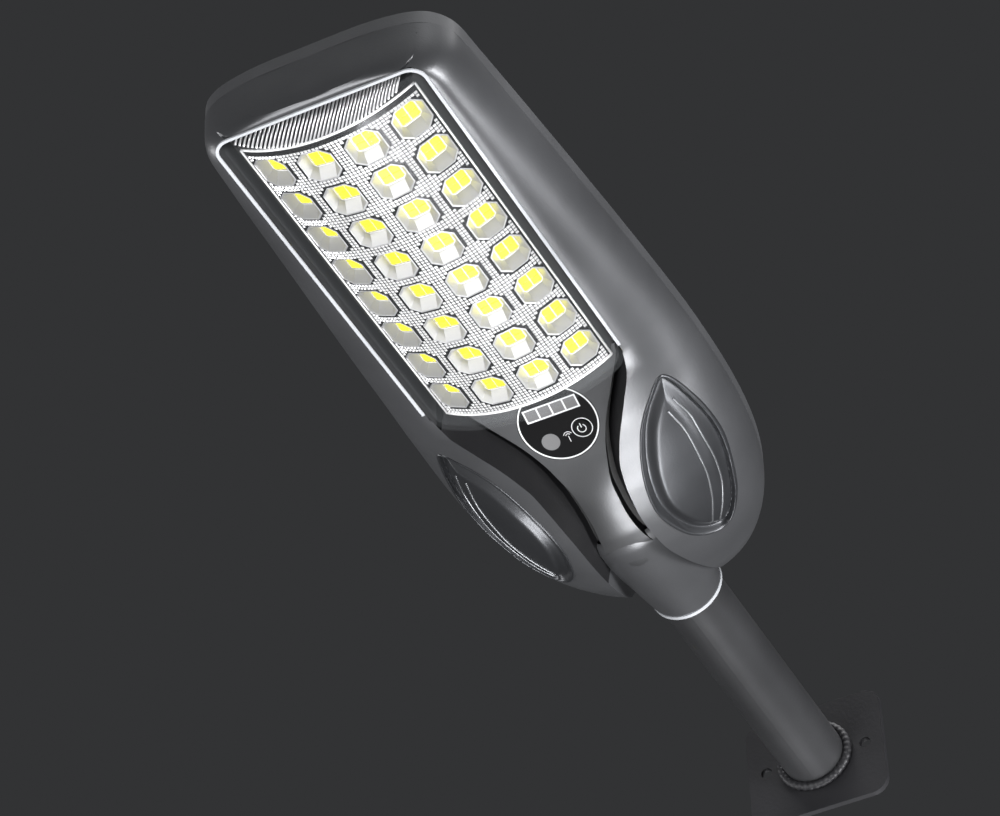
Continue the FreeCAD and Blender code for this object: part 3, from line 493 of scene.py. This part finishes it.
def withHole(points, faces, outline, rimZ, depth, clear):
    # the grid with an outline cut in it, joined by triangles, and a wall behind that outline
    flat = np.stack([points[:, 0], -points[:, 1]], 1)
    away = ((flat[:, None, :] - outline[None, :, :]) ** 2).sum(2).min(1)
    removed = insideOutline(flat, outline) | (away < clear ** 2)
    kept, keptEdges, goneEdges = [], set(), set()
    for face in faces:
        gone = any(removed[v] for v in face)
        if not gone:
            kept.append(face)
        (goneEdges if gone else keptEdges).update(tuple(sorted(e)) for e in zip(face, face[1:] + face[:1]))
    border = sorted(keptEdges & goneEdges)
    used = sorted({v for edge in border for v in edge})
    index = {v: k for k, v in enumerate(used)}
    count = len(outline)
    plan = [Vector(flat[v]) for v in used] + [Vector(p) for p in outline]
    links = [(index[a], index[b]) for a, b in border]
    links += [(len(used) + k, len(used) + (k + 1) % count) for k in range(count)]
    verts, _, tris, origin, _, _ = delaunay_2d_cdt(plan, links, [], 0, 1e-5, True)
    base = len(points)
    names = {k: used[source[0]] if source[0] < len(used) else base + source[0] - len(used)
             for k, source in enumerate(origin) if source}
    middle = np.array([np.mean([list(verts[v]) for v in tri], 0) for tri in tris])
    wanted = insideEdges(middle, [(flat[a], flat[b]) for a, b in border]) & ~insideOutline(middle, outline)
    kept += [tuple(names[v] for v in tri) for tri, good in zip(tris, wanted) if good
             and all(v in names for v in tri)]
    rim = np.stack([outline[:, 0], -outline[:, 1], rimZ], 1)
    points = np.concatenate([points, rim, rim + np.array([0, 0, depth])])
    for k in range(count):
        kept.append((base + k, base + (k + 1) % count, base + count + (k + 1) % count, base + count + k))
    loose = np.zeros(len(points), bool)
    loose[[v for face in kept for v in face]] = True
    order = np.cumsum(loose) - 1
    return points[loose], [tuple(int(order[v]) for v in face) for face in kept]


def housingSide(side):
    stations = housingStations()
    points = np.concatenate([sideColumns(s, side) for s in stations])
    outline = eyeOutline(side)
    faces = gridFaces(len(stations), skin["outerColumns"], flip=(side > 0))
    return withHole(points, faces, outline, hullZ(outline[:, 0], outline[:, 1]), skin["eyeRecess"],
                    skin["eyeClear"])


def insideEdges(points, edges):
    inside = np.zeros(len(points), bool)
    x, y = points[:, 0], points[:, 1]
    for a, b in edges:
        crosses = (a[1] > y) != (b[1] > y)
        at = a[0] + (y - a[1]) / (b[1] - a[1] + 1e-12) * (b[0] - a[0])
        inside ^= crosses & (x < at)
    return inside


def insideOutline(flat, outline):
    return insideEdges(flat, list(zip(outline, np.roll(outline, -1, 0))))


def grooveFade(share):
    return np.clip((skin["fadeEnd"] - share) / skin["fadeRun"], 0, 1) ** 0.7


def spineSurface(x, station):
    share = controlShare(station)
    z = curveThrough(spineRise, share)
    half = curveThrough(spineLine, share)
    fall = sum(drop * np.clip((share - start) / run, 0, 1) for drop, start, run in skin["fall"])
    return z + fall * (np.abs(x) / half) ** 2


def spineRow(station):
    share = float(controlShare(station))
    edge = float(openingEdge(station))
    inner = min(float(curveThrough(spineLine, share)), edge - 0.4)
    xs = np.linspace(0, inner, skin["spineColumns"])
    zs = spineSurface(xs, np.full_like(xs, station))
    depth = skin["grooveDepth"] * float(grooveFade(share)) + 0.05
    top = float(hullZ(edge, station))
    rimZ = zs[-1]
    floor = min(rimZ + depth, head["jointZ"] - 0.5)
    gap = edge - inner
    steps = [(0.02, rimZ + 0.5 * depth), (0.05, floor - 0.3), (0.14, floor), (0.34, floor)]
    lift = np.linspace(0, 1, 6)[1:]
    steps += [(0.34 + 0.66 * t, floor + (top - floor) * (t ** 1.25)) for t in lift]
    gx = np.array([inner + gap * f for f, z in steps])
    gz = np.array([z for f, z in steps])
    return np.concatenate([xs, gx]), np.concatenate([zs, gz])


def housingMiddle():
    stations = [s for s in housingStations() if s <= opening["tail"]] + [opening["tail"]]
    rows = []
    for s in stations:
        x, z = spineRow(s)
        rows.append(np.concatenate([np.stack([-x[:0:-1], np.full(len(x) - 1, -s), z[:0:-1]], 1),
                                    np.stack([x, np.full(len(x), -s), z], 1)]))
    faces = gridFaces(len(rows), len(rows[0]), flip=True)
    turn = np.linspace(0, 2 * math.pi, 120, endpoint=False)
    seat = control["radius"] + skin["seatGap"]
    along = control["station"] + seat * np.sin(turn) * math.cos(control["tilt"])
    disc = np.stack([seat * np.cos(turn), along], 1)
    rimZ = spineSurface(disc[:, 0], disc[:, 1])
    return withHole(np.concatenate(rows), faces, disc, rimZ, skin["seatDepth"], skin["seatClear"])


def middleMark(face):
    # 0 on the spine, 1 in a groove (dark painted-shade material), 2 past the groove's end
    x, y, z = face.center / mm
    share = float(controlShare(-y))
    if abs(x) < float(curveThrough(spineLine, share)) + 0.02:
        return 0
    return 1 if share < skin["grooveEnd"] else 2


def capPatch(station, sign):
    # end face of the hull at its first or last section
    width = float(halfWidth(station))
    angles = np.linspace(-math.pi / 2, math.pi / 2, 49)
    power = float(squareness(station))
    x = np.sign(np.sin(angles)) * width * np.abs(np.sin(angles)) ** (2 / power)
    z = np.minimum(hullZ(x, station), head["jointZ"])
    points = []
    rings, base = skin["capRings"], head["jointZ"]
    for k in range(rings + 1):
        keep = 1 - k / rings
        bulge = skin["capBulge"] * (1 - keep ** 2) ** 0.5 * sign
        points += [(px * keep, -(station + bulge), base + (pz - base) * keep) for px, pz in zip(x, z)]
    return np.array(points), gridFaces(rings + 1, len(x))


def sweptBand(rowsOfPoints, name, material, closed=False):
    rows = len(rowsOfPoints)
    columns = len(rowsOfPoints[0])
    return makeMesh(name, np.concatenate(rowsOfPoints), gridFaces(rows, columns, closed), material)


def openingLoop():
    # outline of the light opening, from the tail's right corner round by the tip
    r, half, tip, tail = opening["corner"], opening["half"], opening["tip"], opening["tail"]
    right = [(half, s) for s in np.linspace(tail, tip - r, 40)]
    turn = np.linspace(0, math.pi / 2, 12)[1:]
    right += [(half - r + r * math.cos(a), tip - r + r * math.sin(a)) for a in turn]
    return right + [(-x, s) for x, s in reversed(right)]


def lightTray():
    loop = openingLoop()
    rows = []
    for t in np.linspace(0, 1, 4):
        row = []
        for x, s in loop:
            top = float(hullZ(abs(x), s)) if s > opening["tail"] else head["rimZ"]
            row.append((x, -s, top + (opening["floorZ"] - top) * t))
        rows.append(np.array(row))
    walls = sweptBand(rows, "trayWalls", paint["tray"])
    half, tail, tip = opening["half"], opening["tail"], opening["tip"]
    start = float(spineSurface(np.array([0.0]), np.array([tail]))[0])
    floorPoints = [(-half, -tail, opening["floorZ"]), (half, -tail, opening["floorZ"]),
                   (half, -tip, opening["floorZ"]), (-half, -tip, opening["floorZ"]),
                   (half, -tail, start), (-half, -tail, start)]
    floor = makeMesh("trayFloor", floorPoints, [(0, 3, 2, 1), (0, 1, 4, 5)], paint["tray"], smooth=False)
    return [walls, floor]


boss = {"start": -boxMm("socket_ring")[0][1], "radius": 21.3, "growth": 0.137, "reach": 74.0, "nose": 9.0,
        "turns": 64, "mouth": ((0.0, -3.2), (0.0, -0.5), (0.25, -0.1), (0.7, 0.0))}  # along, growth in radius


def poleBoss():
    # cone that comes out of the spine and carries the pole
    rows = []
    profile = list(boss["mouth"])
    profile += [(t * boss["reach"], t * boss["reach"] * boss["growth"]) for t in np.linspace(0.04, 1, 14)]
    full = boss["radius"] + boss["reach"] * boss["growth"]
    for turn in np.linspace(0, math.pi / 2, 8)[1:-1]:
        profile.append((boss["reach"] + boss["nose"] * math.sin(turn),
                        full * (0.9 + 0.1 * math.cos(turn)) - boss["radius"]))
    angle = np.linspace(0, 2 * math.pi, boss["turns"], endpoint=False)
    for along, grow in profile:
        radius = boss["radius"] + grow
        rows.append(np.stack([radius * np.cos(angle), np.full(boss["turns"], -(boss["start"] + along)),
                              radius * np.sin(angle)], 1))
    points = np.concatenate(rows)
    points[:, 2] = np.minimum(points[:, 2], head["jointZ"] - 0.05)
    faces = gridFaces(len(rows), boss["turns"], closed=True)
    return makeMesh("poleBoss", points, faces, paint["charcoal"])


def lowerHousing():
    pieces = []
    for side in (1, -1):
        points, faces = housingSide(side)
        pieces.append(makeMesh("flank", points, faces, paint["charcoal"]))
    points, faces = housingMiddle()
    middle = makeMesh("spine", points, faces, paint["spine"])
    # the groove faces take the near-black painted-shade material
    middle.data.materials.append(paint["groove"])
    middle.data.materials.append(paint["charcoal"])
    middle.data.polygons.foreach_set("material_index", [middleMark(f) for f in middle.data.polygons])
    pieces.append(middle)
    first, last = housingStations()[0], housingStations()[-1]
    for station, sign in ((first, -1), (last, 1)):
        points, faces = capPatch(station, sign)
        pieces.append(makeMesh("cap", points, faces, paint["charcoal"]))
    housing = joined("lowerHousing", pieces)
    mergeAndTurn(housing)
    creaseBy(housing, skin["crease"])
    whole = joined("lowerHousing", [housing] + lightTray() + [poleBoss()])
    whole.name = "lowerHousing"
    creaseBy(whole, skin["crease"])
    finishPiece(whole, "head", "housing_charcoal", "lower_housing", "left_groove_trim", "right_groove_trim")


lowerHousing()
print("housing made")


# geometry node trees: tubes along lines, and shapes set out on points
def newTree(name, inputs):
    tree = bpy.data.node_groups.new(name, "GeometryNodeTree")
    addSocket(tree, "Geometry", "Geometry", "INPUT")
    addSocket(tree, "Geometry", "Geometry", "OUTPUT")
    for socket, kind, value in inputs:
        addSocket(tree, socket, kind, "INPUT", value)
    return tree, addNode(tree, "NodeGroupInput"), addNode(tree, "NodeGroupOutput")


def endTree(tree, ins, outs, result):
    # every tree ends the same way: real geometry with its material
    real = addNode(tree, "GeometryNodeRealizeInstances")
    colour = addNode(tree, "GeometryNodeSetMaterial")
    tree.links.new(result, real.inputs["Geometry"])
    tree.links.new(real.outputs["Geometry"], colour.inputs["Geometry"])
    tree.links.new(ins.outputs["Material"], colour.inputs["Material"])
    tree.links.new(colour.outputs["Geometry"], outs.inputs["Geometry"])
    return tree


def tubeTree():
    tree, ins, outs = newTree("tubeAlong", [("Radius", "Float", 0.001), ("Sides", "Int", 10),
                                            ("Material", "Material", None)])
    link = tree.links.new
    toCurve = addNode(tree, "GeometryNodeMeshToCurve")
    circle = addNode(tree, "GeometryNodeCurvePrimitiveCircle")
    toMesh = addNode(tree, "GeometryNodeCurveToMesh", [("Fill Caps", True)])
    smooth = addNode(tree, "GeometryNodeSetShadeSmooth")
    link(ins.outputs["Geometry"], toCurve.inputs["Mesh"])
    link(ins.outputs["Sides"], circle.inputs["Resolution"])
    link(ins.outputs["Radius"], circle.inputs["Radius"])
    link(toCurve.outputs["Curve"], toMesh.inputs["Curve"])
    link(circle.outputs["Curve"], toMesh.inputs["Profile Curve"])
    link(toMesh.outputs["Mesh"], smooth.inputs["Geometry"])
    return endTree(tree, ins, outs, smooth.outputs["Geometry"])


def arrayTree():
    # the shape on every point, turned by the point's own angles
    tree, ins, outs = newTree("setOnPoints", [("Shape", "Object", None), ("Size Change", "Float", 0.0),
                                              ("Seed", "Int", 7), ("Material", "Material", None)])
    link = tree.links.new
    shape = addNode(tree, "GeometryNodeObjectInfo")
    toPoints = addNode(tree, "GeometryNodeMeshToPoints")
    angles = addNode(tree, "GeometryNodeInputNamedAttribute", [("Name", "turn")], data_type="FLOAT_VECTOR")
    turn = addNode(tree, "FunctionNodeEulerToRotation")
    low = addNode(tree, "ShaderNodeMath", [(0, 1.0)], operation="SUBTRACT")
    size = addNode(tree, "FunctionNodeRandomValue", [(3, 1.0)], data_type="FLOAT")
    place = addNode(tree, "GeometryNodeInstanceOnPoints")
    link(ins.outputs["Geometry"], toPoints.inputs["Mesh"])
    link(toPoints.outputs["Points"], place.inputs["Points"])
    link(ins.outputs["Shape"], shape.inputs["Object"])
    link(shape.outputs["Geometry"], place.inputs["Instance"])
    link(angles.outputs["Attribute"], turn.inputs["Euler"])
    link(turn.outputs["Rotation"], place.inputs["Rotation"])
    link(ins.outputs["Size Change"], low.inputs[1])
    link(low.outputs["Value"], size.inputs[2])
    link(ins.outputs["Seed"], size.inputs["Seed"])
    link(size.outputs[1], place.inputs["Scale"])
    return endTree(tree, ins, outs, place.outputs["Instances"])


trees = {"tube": tubeTree(), "array": arrayTree()}


def withTree(piece, tree, values):
    change = piece.modifiers.new(tree.name, "NODES")
    change.node_group = tree
    for item in tree.interface.items_tree:
        if item.in_out == "INPUT" and item.name in values:
            change[item.identifier] = values[item.name]
    return applied(piece)


def tubesAlong(name, lines, radius, material, sides=10):
    # each line is (points, closed)
    points, edges = [], []
    for line, closed in lines:
        base = len(points)
        points += [tuple(p) for p in line]
        edges += [(base + k, base + k + 1) for k in range(len(line) - 1)]
        if closed:
            edges.append((base + len(line) - 1, base))
    mesh = bpy.data.meshes.new(name)
    mesh.from_pydata([tuple(p) for p in np.asarray(points, float) * mm], edges, [])
    piece = bpy.data.objects.new(name, mesh)
    bpy.context.scene.collection.objects.link(piece)
    return withTree(piece, trees["tube"], {"Radius": radius * mm, "Sides": sides, "Material": material})


def shapesOn(name, shape, points, turns, material, change=0.0, seed=7):
    mesh = bpy.data.meshes.new(name)
    mesh.from_pydata([tuple(p) for p in np.asarray(points, float) * mm], [], [])
    attribute = mesh.attributes.new("turn", "FLOAT_VECTOR", "POINT")
    attribute.data.foreach_set("vector", np.asarray(turns, float).ravel())
    piece = bpy.data.objects.new(name, mesh)
    bpy.context.scene.collection.objects.link(piece)
    piece = withTree(piece, trees["array"], {"Shape": shape, "Size Change": change, "Seed": seed,
                                             "Material": material})
    bpy.data.objects.remove(shape)
    return piece


# reflector
reflect = {"limit": math.radians(32.3), "mouth": (8.8, 9.8, 4.2), "floor": (5.9, 5.2, 1.4), "flange": 0.8,
           "proud": 0.3, "studPitch": 2.1, "studHeight": 0.8, "studBase": 0.9, "tail": 4.15, "tip": 4.12,
           "lean": 8.7, "ribPitch": 2.2, "ribRadius": 0.68, "ribSlant": math.radians(22), "edge": 1.1,
           "wallHalf": 49.0, "ribLimit": 49.3, "thinEdge": 0.7, "studChange": 0.12}
rowStations = [light["middle"] + (3.5 - j) * light["pitch"] for j in range(light["rows"])]
columnAngles = [(i - 1.5) * light["angle"] for i in range(light["columns"])]


def vaultPoint(angle, station, radius):
    return (radius * math.sin(angle), -station, light["arcZ"] - radius * math.cos(angle))


def octagon(half, wide, cut, sides=3):
    corners = [(half, wide - cut), (half - cut, wide), (cut - half, wide), (-half, wide - cut),
               (-half, cut - wide), (cut - half, -wide), (half - cut, -wide), (half, cut - wide)]
    out = []
    for (ax, ay), (bx, by) in zip(corners, corners[1:] + corners[:1]):
        out += [(ax + (bx - ax) * k / sides, ay + (by - ay) * k / sides) for k in range(sides)]
    return out


def toRectangle(u, v, low, high, reach):
    # where the ray through (u, v) leaves the rectangle
    wide = high if u > 0 else -low
    scale = min(wide / max(abs(u), 1e-6), reach / max(abs(v), 1e-6))
    return u * scale, v * scale


def sheetCells():
    points, faces = [], []
    radius = light["frontRadius"]
    half = light["pitch"] / 2
    ring = octagon(*reflect["mouth"])
    for angle in columnAngles:
        low = -(min(light["angle"] / 2, angle + reflect["limit"])) * radius
        high = min(light["angle"] / 2, reflect["limit"] - angle) * radius
        for station in rowStations:
            base = len(points)
            outer = [toRectangle(u, v, low, high, half) for u, v in ring]
            cornersAt = {}
            for cu, cv in ((high, half), (low, half), (low, -half), (high, -half)):
                near = min(range(len(outer)), key=lambda k: math.hypot(outer[k][0] - cu, outer[k][1] - cv))
                cornersAt[near] = (cu, cv)
            outer = [cornersAt.get(k, p) for k, p in enumerate(outer)]
            for level in (0.0, 0.33, 0.66, 1.0):
                for (u, v), (ou, ov) in zip(ring, outer):
                    at = (u + (ou - u) * level, v + (ov - v) * level)
                    points.append(vaultPoint(angle + at[0] / radius, station + at[1], radius))
            count = len(ring)
            faces += gridFaces(4, count, closed=True, offset=base)
    return points, faces


def sheetEnds():
    radius = light["frontRadius"]
    angles = np.linspace(-reflect["limit"], reflect["limit"], 41)
    points, faces = [], []
    for near, far in ((4.0, reflect["tip"]), (-4.0, -reflect["tail"])):
        base = len(points)
        for share in (near, far):
            points += [vaultPoint(a, light["middle"] + share * light["pitch"], radius) for a in angles]
        faces += gridFaces(2, len(angles), offset=base)
    return points, faces


def endWallLine(x, turn=0.0):
    # a line down the leaning end wall, from the vault's edge to the tray
    start = light["middle"] + reflect["tip"] * light["pitch"]
    top = light["arcZ"] - math.sqrt(light["frontRadius"] ** 2 - x ** 2)
    crownZ = light["arcZ"] - light["frontRadius"]
    low = opening["floorZ"] - 0.4
    out = []
    for share in (0.0, 0.5, 1.0):
        z = top + (low - top) * share
        lean = reflect["lean"] * (z - crownZ) / (low - crownZ)
        out.append((x + math.tan(turn) * (z - top), -(start + lean + 0.1), z))
    return out


def studPlaces():
    # a grid of studs over the vault, left out over the cups
    pitch, radius = reflect["studPitch"], light["frontRadius"]
    half, wide, cut = reflect["mouth"]
    half, wide = half + reflect["flange"] + 0.5, wide + reflect["flange"] + 0.5
    start = light["middle"] - reflect["tail"] * light["pitch"] + pitch
    end = light["middle"] + reflect["tip"] * light["pitch"] - pitch * 0.7
    span = reflect["limit"] * radius - pitch * 0.8
    across = int(span / pitch)
    points, turns = [], []
    for k in range(int((end - start) / pitch)):
        for i in range(-across, across + 1):
            angle, s = i * pitch / radius, start + k * pitch
            du = min(abs(angle - a) for a in columnAngles) * radius
            dv = min(abs(s - row) for row in rowStations)
            if du < half and dv < wide and du + dv < half + wide - cut:
                continue
            points.append(vaultPoint(angle, s, radius - 0.02))
            turns.append((0.0, -angle, 0.0))
    return points, turns


def cupShape():
    # flange, rounded lip and eight plane walls, drawn facing -Z about the arc's centre line
    points = []
    lip, proud, radius = reflect["flange"], reflect["proud"], light["frontRadius"]
    half, wide, cut = reflect["mouth"]
    for grow, depth in ((lip, -0.1), (lip * 0.75, proud * 0.8), (lip * 0.35, proud), (0.1, proud * 0.7),
                        (-0.15, 0.0)):
        ring = octagon(half + grow, wide + grow, cut + grow * 0.55, 1)
        points += [(x, y, -(radius + depth)) for x, y in ring]
    points += [(x, y, -(light["chipRadius"] - 0.55)) for x, y in octagon(*reflect["floor"], 1)]
    shape = makeMesh("cup", points, gridFaces(6, 8, closed=True), paint["cup"], smooth=False)
    return mergeAndTurn(shape, 0.001)


def studShape():
    half = reflect["studBase"]
    corners = [(-half, -half, 0), (half, -half, 0), (half, half, 0), (-half, half, 0),
               (0, 0, -reflect["studHeight"])]
    return makeMesh("stud", corners, [(0, 1, 4), (1, 2, 4), (2, 3, 4), (3, 0, 4)], paint["stud"], smooth=False)


def borderShape():
    # pale line round the chips on a cup's floor, a painted edge highlight
    half, wide, cut = reflect["floor"]
    low = -(light["chipRadius"] + 0.1)
    points = [(x, y, low) for grow in (-0.05, 0.55) for x, y in octagon(half + grow, wide + grow, cut, 1)]
    return makeMesh("border", points, gridFaces(2, 8, closed=True), paint["edgeHighlight"], False)


def endWallRibs():
    lines = []
    half = reflect["wallHalf"]
    for x in np.arange(-60.0, half, reflect["ribPitch"]):
        near = max(min(x, half), -half)
        line = [(px + (x - near), py, pz) for px, py, pz in endWallLine(near, reflect["ribSlant"])]
        if max(abs(p[0]) for p in line) < reflect["ribLimit"]:
            lines.append((line, False))
    return tubesAlong("ribs", lines, reflect["ribRadius"], paint["ribs"], 6)


def reflectorPiece():
    points, faces = sheetCells()
    sheet = makeMesh("sheet", points, faces, paint["reflectorShade"])
    points, faces = sheetEnds()
    ends = makeMesh("ends", points, faces, paint["reflectorShade"])
    stud = studShape()
    points, turns = studPlaces()
    studs = shapesOn("studs", stud, points, turns, paint["stud"], reflect["studChange"], 3)
    places = [(0, -station, light["arcZ"]) for angle in columnAngles for station in rowStations]
    turns = [(0.0, -angle, 0.0) for angle in columnAngles for station in rowStations]
    cups = shapesOn("cups", cupShape(), places, turns, paint["cup"])
    borders = shapesOn("borders", borderShape(), places, turns, paint["edgeHighlight"])
    wallLines = [endWallLine(x) for x in np.linspace(-reflect["wallHalf"], reflect["wallHalf"], 41)]
    endWall = sweptBand(wallLines, "endWall", paint["reflectorShade"])
    pieces = [sheet, ends, studs, cups, borders, endWall, endWallRibs()]
    radius, back = light["frontRadius"], opening["floorZ"] - 0.2
    tailEnd = light["middle"] - reflect["tail"] * light["pitch"]
    tipEnd = light["middle"] + reflect["tip"] * light["pitch"]
    angles = np.linspace(-reflect["limit"], reflect["limit"], 49)
    # the white tubes along the tail, tip and side edges are painted edge highlights
    arc = [vaultPoint(a, tailEnd, radius - reflect["edge"] * 0.5) for a in angles]
    pieces.append(tubesAlong("edgeArc", [(arc, False)], reflect["edge"], paint["edgeHighlight"], 12))
    arc = [vaultPoint(a, tipEnd, radius - 0.3) for a in angles]
    pieces.append(tubesAlong("tipArc", [(arc, False)], reflect["thinEdge"], paint["edgeHighlight"], 8))
    for side in (1, -1):
        x, y, z = vaultPoint(side * reflect["limit"], 0, radius)
        skirt = [[(x, -s, level) for s in (tailEnd, tipEnd + 3)] for level in (z, back)]
        pieces.append(sweptBand(skirt, "skirt", paint["cup"]))
        line = [(x, -s, z) for s in np.linspace(tailEnd, tipEnd, 8)]
        pieces.append(tubesAlong("sideEdge", [(line, False)], reflect["thinEdge"], paint["edgeHighlight"], 8))
    front = [vaultPoint(a, tailEnd, radius) for a in angles]
    pieces.append(sweptBand([front, [(x, y, back) for x, y, z in front]], "tailWall", paint["cup"]))
    finishPiece(joined("reflectorVault", pieces), "head", "reflector_silver", "reflector")


reflectorPiece()
print("reflector made")


# eyes
eyeForm = {"lipWidth": 1.7, "lipProud": 0.8, "creaseDepth": 3.4, "creaseAt": 3.2, "bulgeAt": 10.5,
           "bulgeDepth": -0.2, "ribRadius": 0.7, "crease": 50, "rimDepth": 4.0,
           "centre": 2.0,
           "ribs": (((8.0, 40.5), (10.3, 21.6), (8.4, -3.5), (3.6, -22.8), (-4.5, -41.5)),
                    ((12.5, 43.5), (15.4, 24.6), (14.7, 2.2), (11.2, -18.8), (5.2, -34.0), (-2.0, -46.0)))}


def eyeDrop(inward):
    # depth under the hull against the distance in from the outline
    lip = -eyeForm["lipProud"] * np.sin(np.clip(inward / eyeForm["lipWidth"], 0, 1) * math.pi) ** 0.7
    fall = np.clip((inward - eyeForm["lipWidth"]) / (eyeForm["creaseAt"] - eyeForm["lipWidth"]), 0, 1)
    rise = np.clip((inward - eyeForm["creaseAt"]) / (eyeForm["bulgeAt"] - eyeForm["creaseAt"]), 0, 1)
    rise = rise * rise * (3 - 2 * rise)
    return lip + eyeForm["creaseDepth"] * fall - (eyeForm["creaseDepth"] - eyeForm["bulgeDepth"]) * rise


def eyeInward(x, station, outline):
    # distance in from the outline, as the panel's own rings measure it
    flat = np.stack([x, station], 1)
    return np.sqrt(((flat[:, None, :] - outline[None, :, :]) ** 2).sum(2).min(1))


def eyePanel(side):
    outline = eyeOutline(side)
    centre = np.array([side * eye["x"], eye["station"] + eyeForm["centre"]])
    scales = np.concatenate([np.linspace(1, 0.72, 34)[:-1], np.linspace(0.72, 0.001, 20)])
    rimZ = hullZ(outline[:, 0], outline[:, 1]) + eyeForm["rimDepth"]
    rows = [np.stack([outline[:, 0], -outline[:, 1], rimZ], 1)]
    for scale in scales:
        flat = centre + (outline - centre) * scale
        drop = eyeDrop(eyeInward(flat[:, 0], flat[:, 1], outline))
        rows.append(np.stack([flat[:, 0], -flat[:, 1], hullZ(flat[:, 0], flat[:, 1]) + drop], 1))
    panel = sweptBand(rows, "eye", paint["eye"], closed=True)
    lines = []
    for places in eyeForm["ribs"]:
        marks = np.array(places)
        at = np.linspace(0, len(marks) - 1, 60)
        curved = [curveThrough(list(enumerate(marks[:, k])), at) for k in (0, 1)]
        x = side * (eye["x"] + curved[0])
        s = eye["station"] + curved[1]
        z = hullZ(x, s) + eyeDrop(eyeInward(x, s, outline)) + 0.1
        lines.append((np.stack([x, -s, z], 1), False))
    # the ribs take the lighter painted-highlight charcoal
    ribs = tubesAlong("eyeRibs", lines, eyeForm["ribRadius"], paint["lip"], 8)
    whole = mergeAndTurn(joined("eyePanelRight" if side > 0 else "eyePanelLeft", [panel, ribs]), 0.001)
    creaseBy(whole, eyeForm["crease"])
    finishPiece(whole, "head", "eye_charcoal", ("right" if side > 0 else "left") + "_eye_panel")


for side in (1, -1):
    eyePanel(side)
print("eyes made")


# controls
def discPoint(x, y, z=0.0):
    tilt = control["tilt"]
    return (x, -control["station"] - y * math.cos(tilt) - z * math.sin(tilt),
            control["z"] + y * math.sin(tilt) - z * math.cos(tilt))


def discArc(cx, cy, radius, start, end, steps=40, z=0.1):
    return [discPoint(cx + radius * math.cos(a), cy + radius * math.sin(a), z)
            for a in np.radians(np.linspace(start, end, steps))]


icons = {"button": (10.9, -6.9), "surround": 5.6, "surroundLine": 0.28, "antenna": (1.8, -9.0), "mast": 3.6,
         "waves": (1.3, 2.5), "antennaLine": 0.22, "power": 2.3, "powerBar": (0.5, 3.1), "powerZ": 1.05,
         "powerLine": 0.3}


def controlIcons():
    bx, by = icons["button"]
    ax, ay = icons["antenna"]
    white = paint["print"]
    line = discArc(bx, by, icons["surround"], 0, 351)
    ring = tubesAlong("buttonSurround", [(line, True)], icons["surroundLine"], white, 8)
    finishPiece(ring, "head", "print_white")
    lines = [(discArc(ax, ay, r, 25, 155, 16, 0.05), False) for r in icons["waves"]]
    lines.append(([discPoint(ax, ay, 0.05), discPoint(ax, ay - icons["mast"], 0.05)], False))
    finishPiece(tubesAlong("antennaIcon", lines, icons["antennaLine"], white, 6), "head", "print_white")
    z = icons["powerZ"]
    lines = [(discArc(bx, by, icons["power"], 125, 415, 36, z), False),
             ([discPoint(bx, by + up, z) for up in icons["powerBar"]], False)]
    finishPiece(tubesAlong("powerIcon", lines, icons["powerLine"], white, 8), "power_button", "print_white")


controlIcons()
print("controls made")


# weld bead
weld = {"turns": 144, "around": 16, "ripples": 36, "ripple": 0.22, "radius": 20.9, "wide": 2.7, "along": 5.6,
        "tall": 2.4}


def weldBead():
    rows = []
    for k in range(weld["turns"]):
        angle = 2 * math.pi * k / weld["turns"]
        ripple = weld["ripple"] * math.cos(angle * weld["ripples"])
        row = []
        for j in range(weld["around"]):
            turn = 2 * math.pi * j / weld["around"]
            radius = weld["radius"] + (weld["wide"] + ripple) * math.cos(turn)
            along = weld["along"] + (weld["tall"] + ripple) * math.sin(turn)
            row.append((radius * math.cos(angle), -along, radius * math.sin(angle)))
        rows.append(row)
    rows.append(rows[0])
    bead = mergeAndTurn(sweptBand(rows, "weldBead", paint["plate"], closed=True), 0.001)
    finishPiece(bead, "bracket", "painted_pole", "weld_collar")


weldBead()
print("bracket made")

# materials of the pieces that stay as the frame has them
finishes = {
    "plate": ["wall_flange"], "pole": ["pole_tube"], "charcoal": ["pole_socket"], "cover": ["back_cover"],
    "bead": ["socket_ring", "rim_bead"], "seal": ["socket_seal", "cover_gasket", "lens_gasket", "battery_strap"],
    "steel": ["pole_lock_screw", "lock_nut", "cover_screws", "heat_spreader", "button_spring"],
    "back": ["solar_backsheet"], "cell": ["solar_cells"], "glass": ["solar_glass"], "lens": ["lens_cover"],
    "dark": ["panel_box", "button_switch", "motion_sensor", "control_chips", "battery_holder"],
    "gloss": ["control_bezel", "power_button"], "print": ["bezel_ring", "gauge_frame", "gauge_lamps"],
    "window": ["gauge_windows", "sensor_window"], "board": ["control_board"], "wrap": ["battery_cells"],
    "wire": ["panel_wires", "battery_wires"], "white": ["led_board_%d" % k for k in (1, 2, 3, 4)],
    "chip": ["led_chips_%d" % k for k in (1, 2, 3, 4)]}
for material, names in finishes.items():
    for name in names:
        nodes[name].data.materials.clear()
        nodes[name].data.materials.append(paint[material])
print("finishes set:", sum(len(names) for names in finishes.values()), "nodes")

bpy.context.scene.view_settings.view_transform = "Standard"
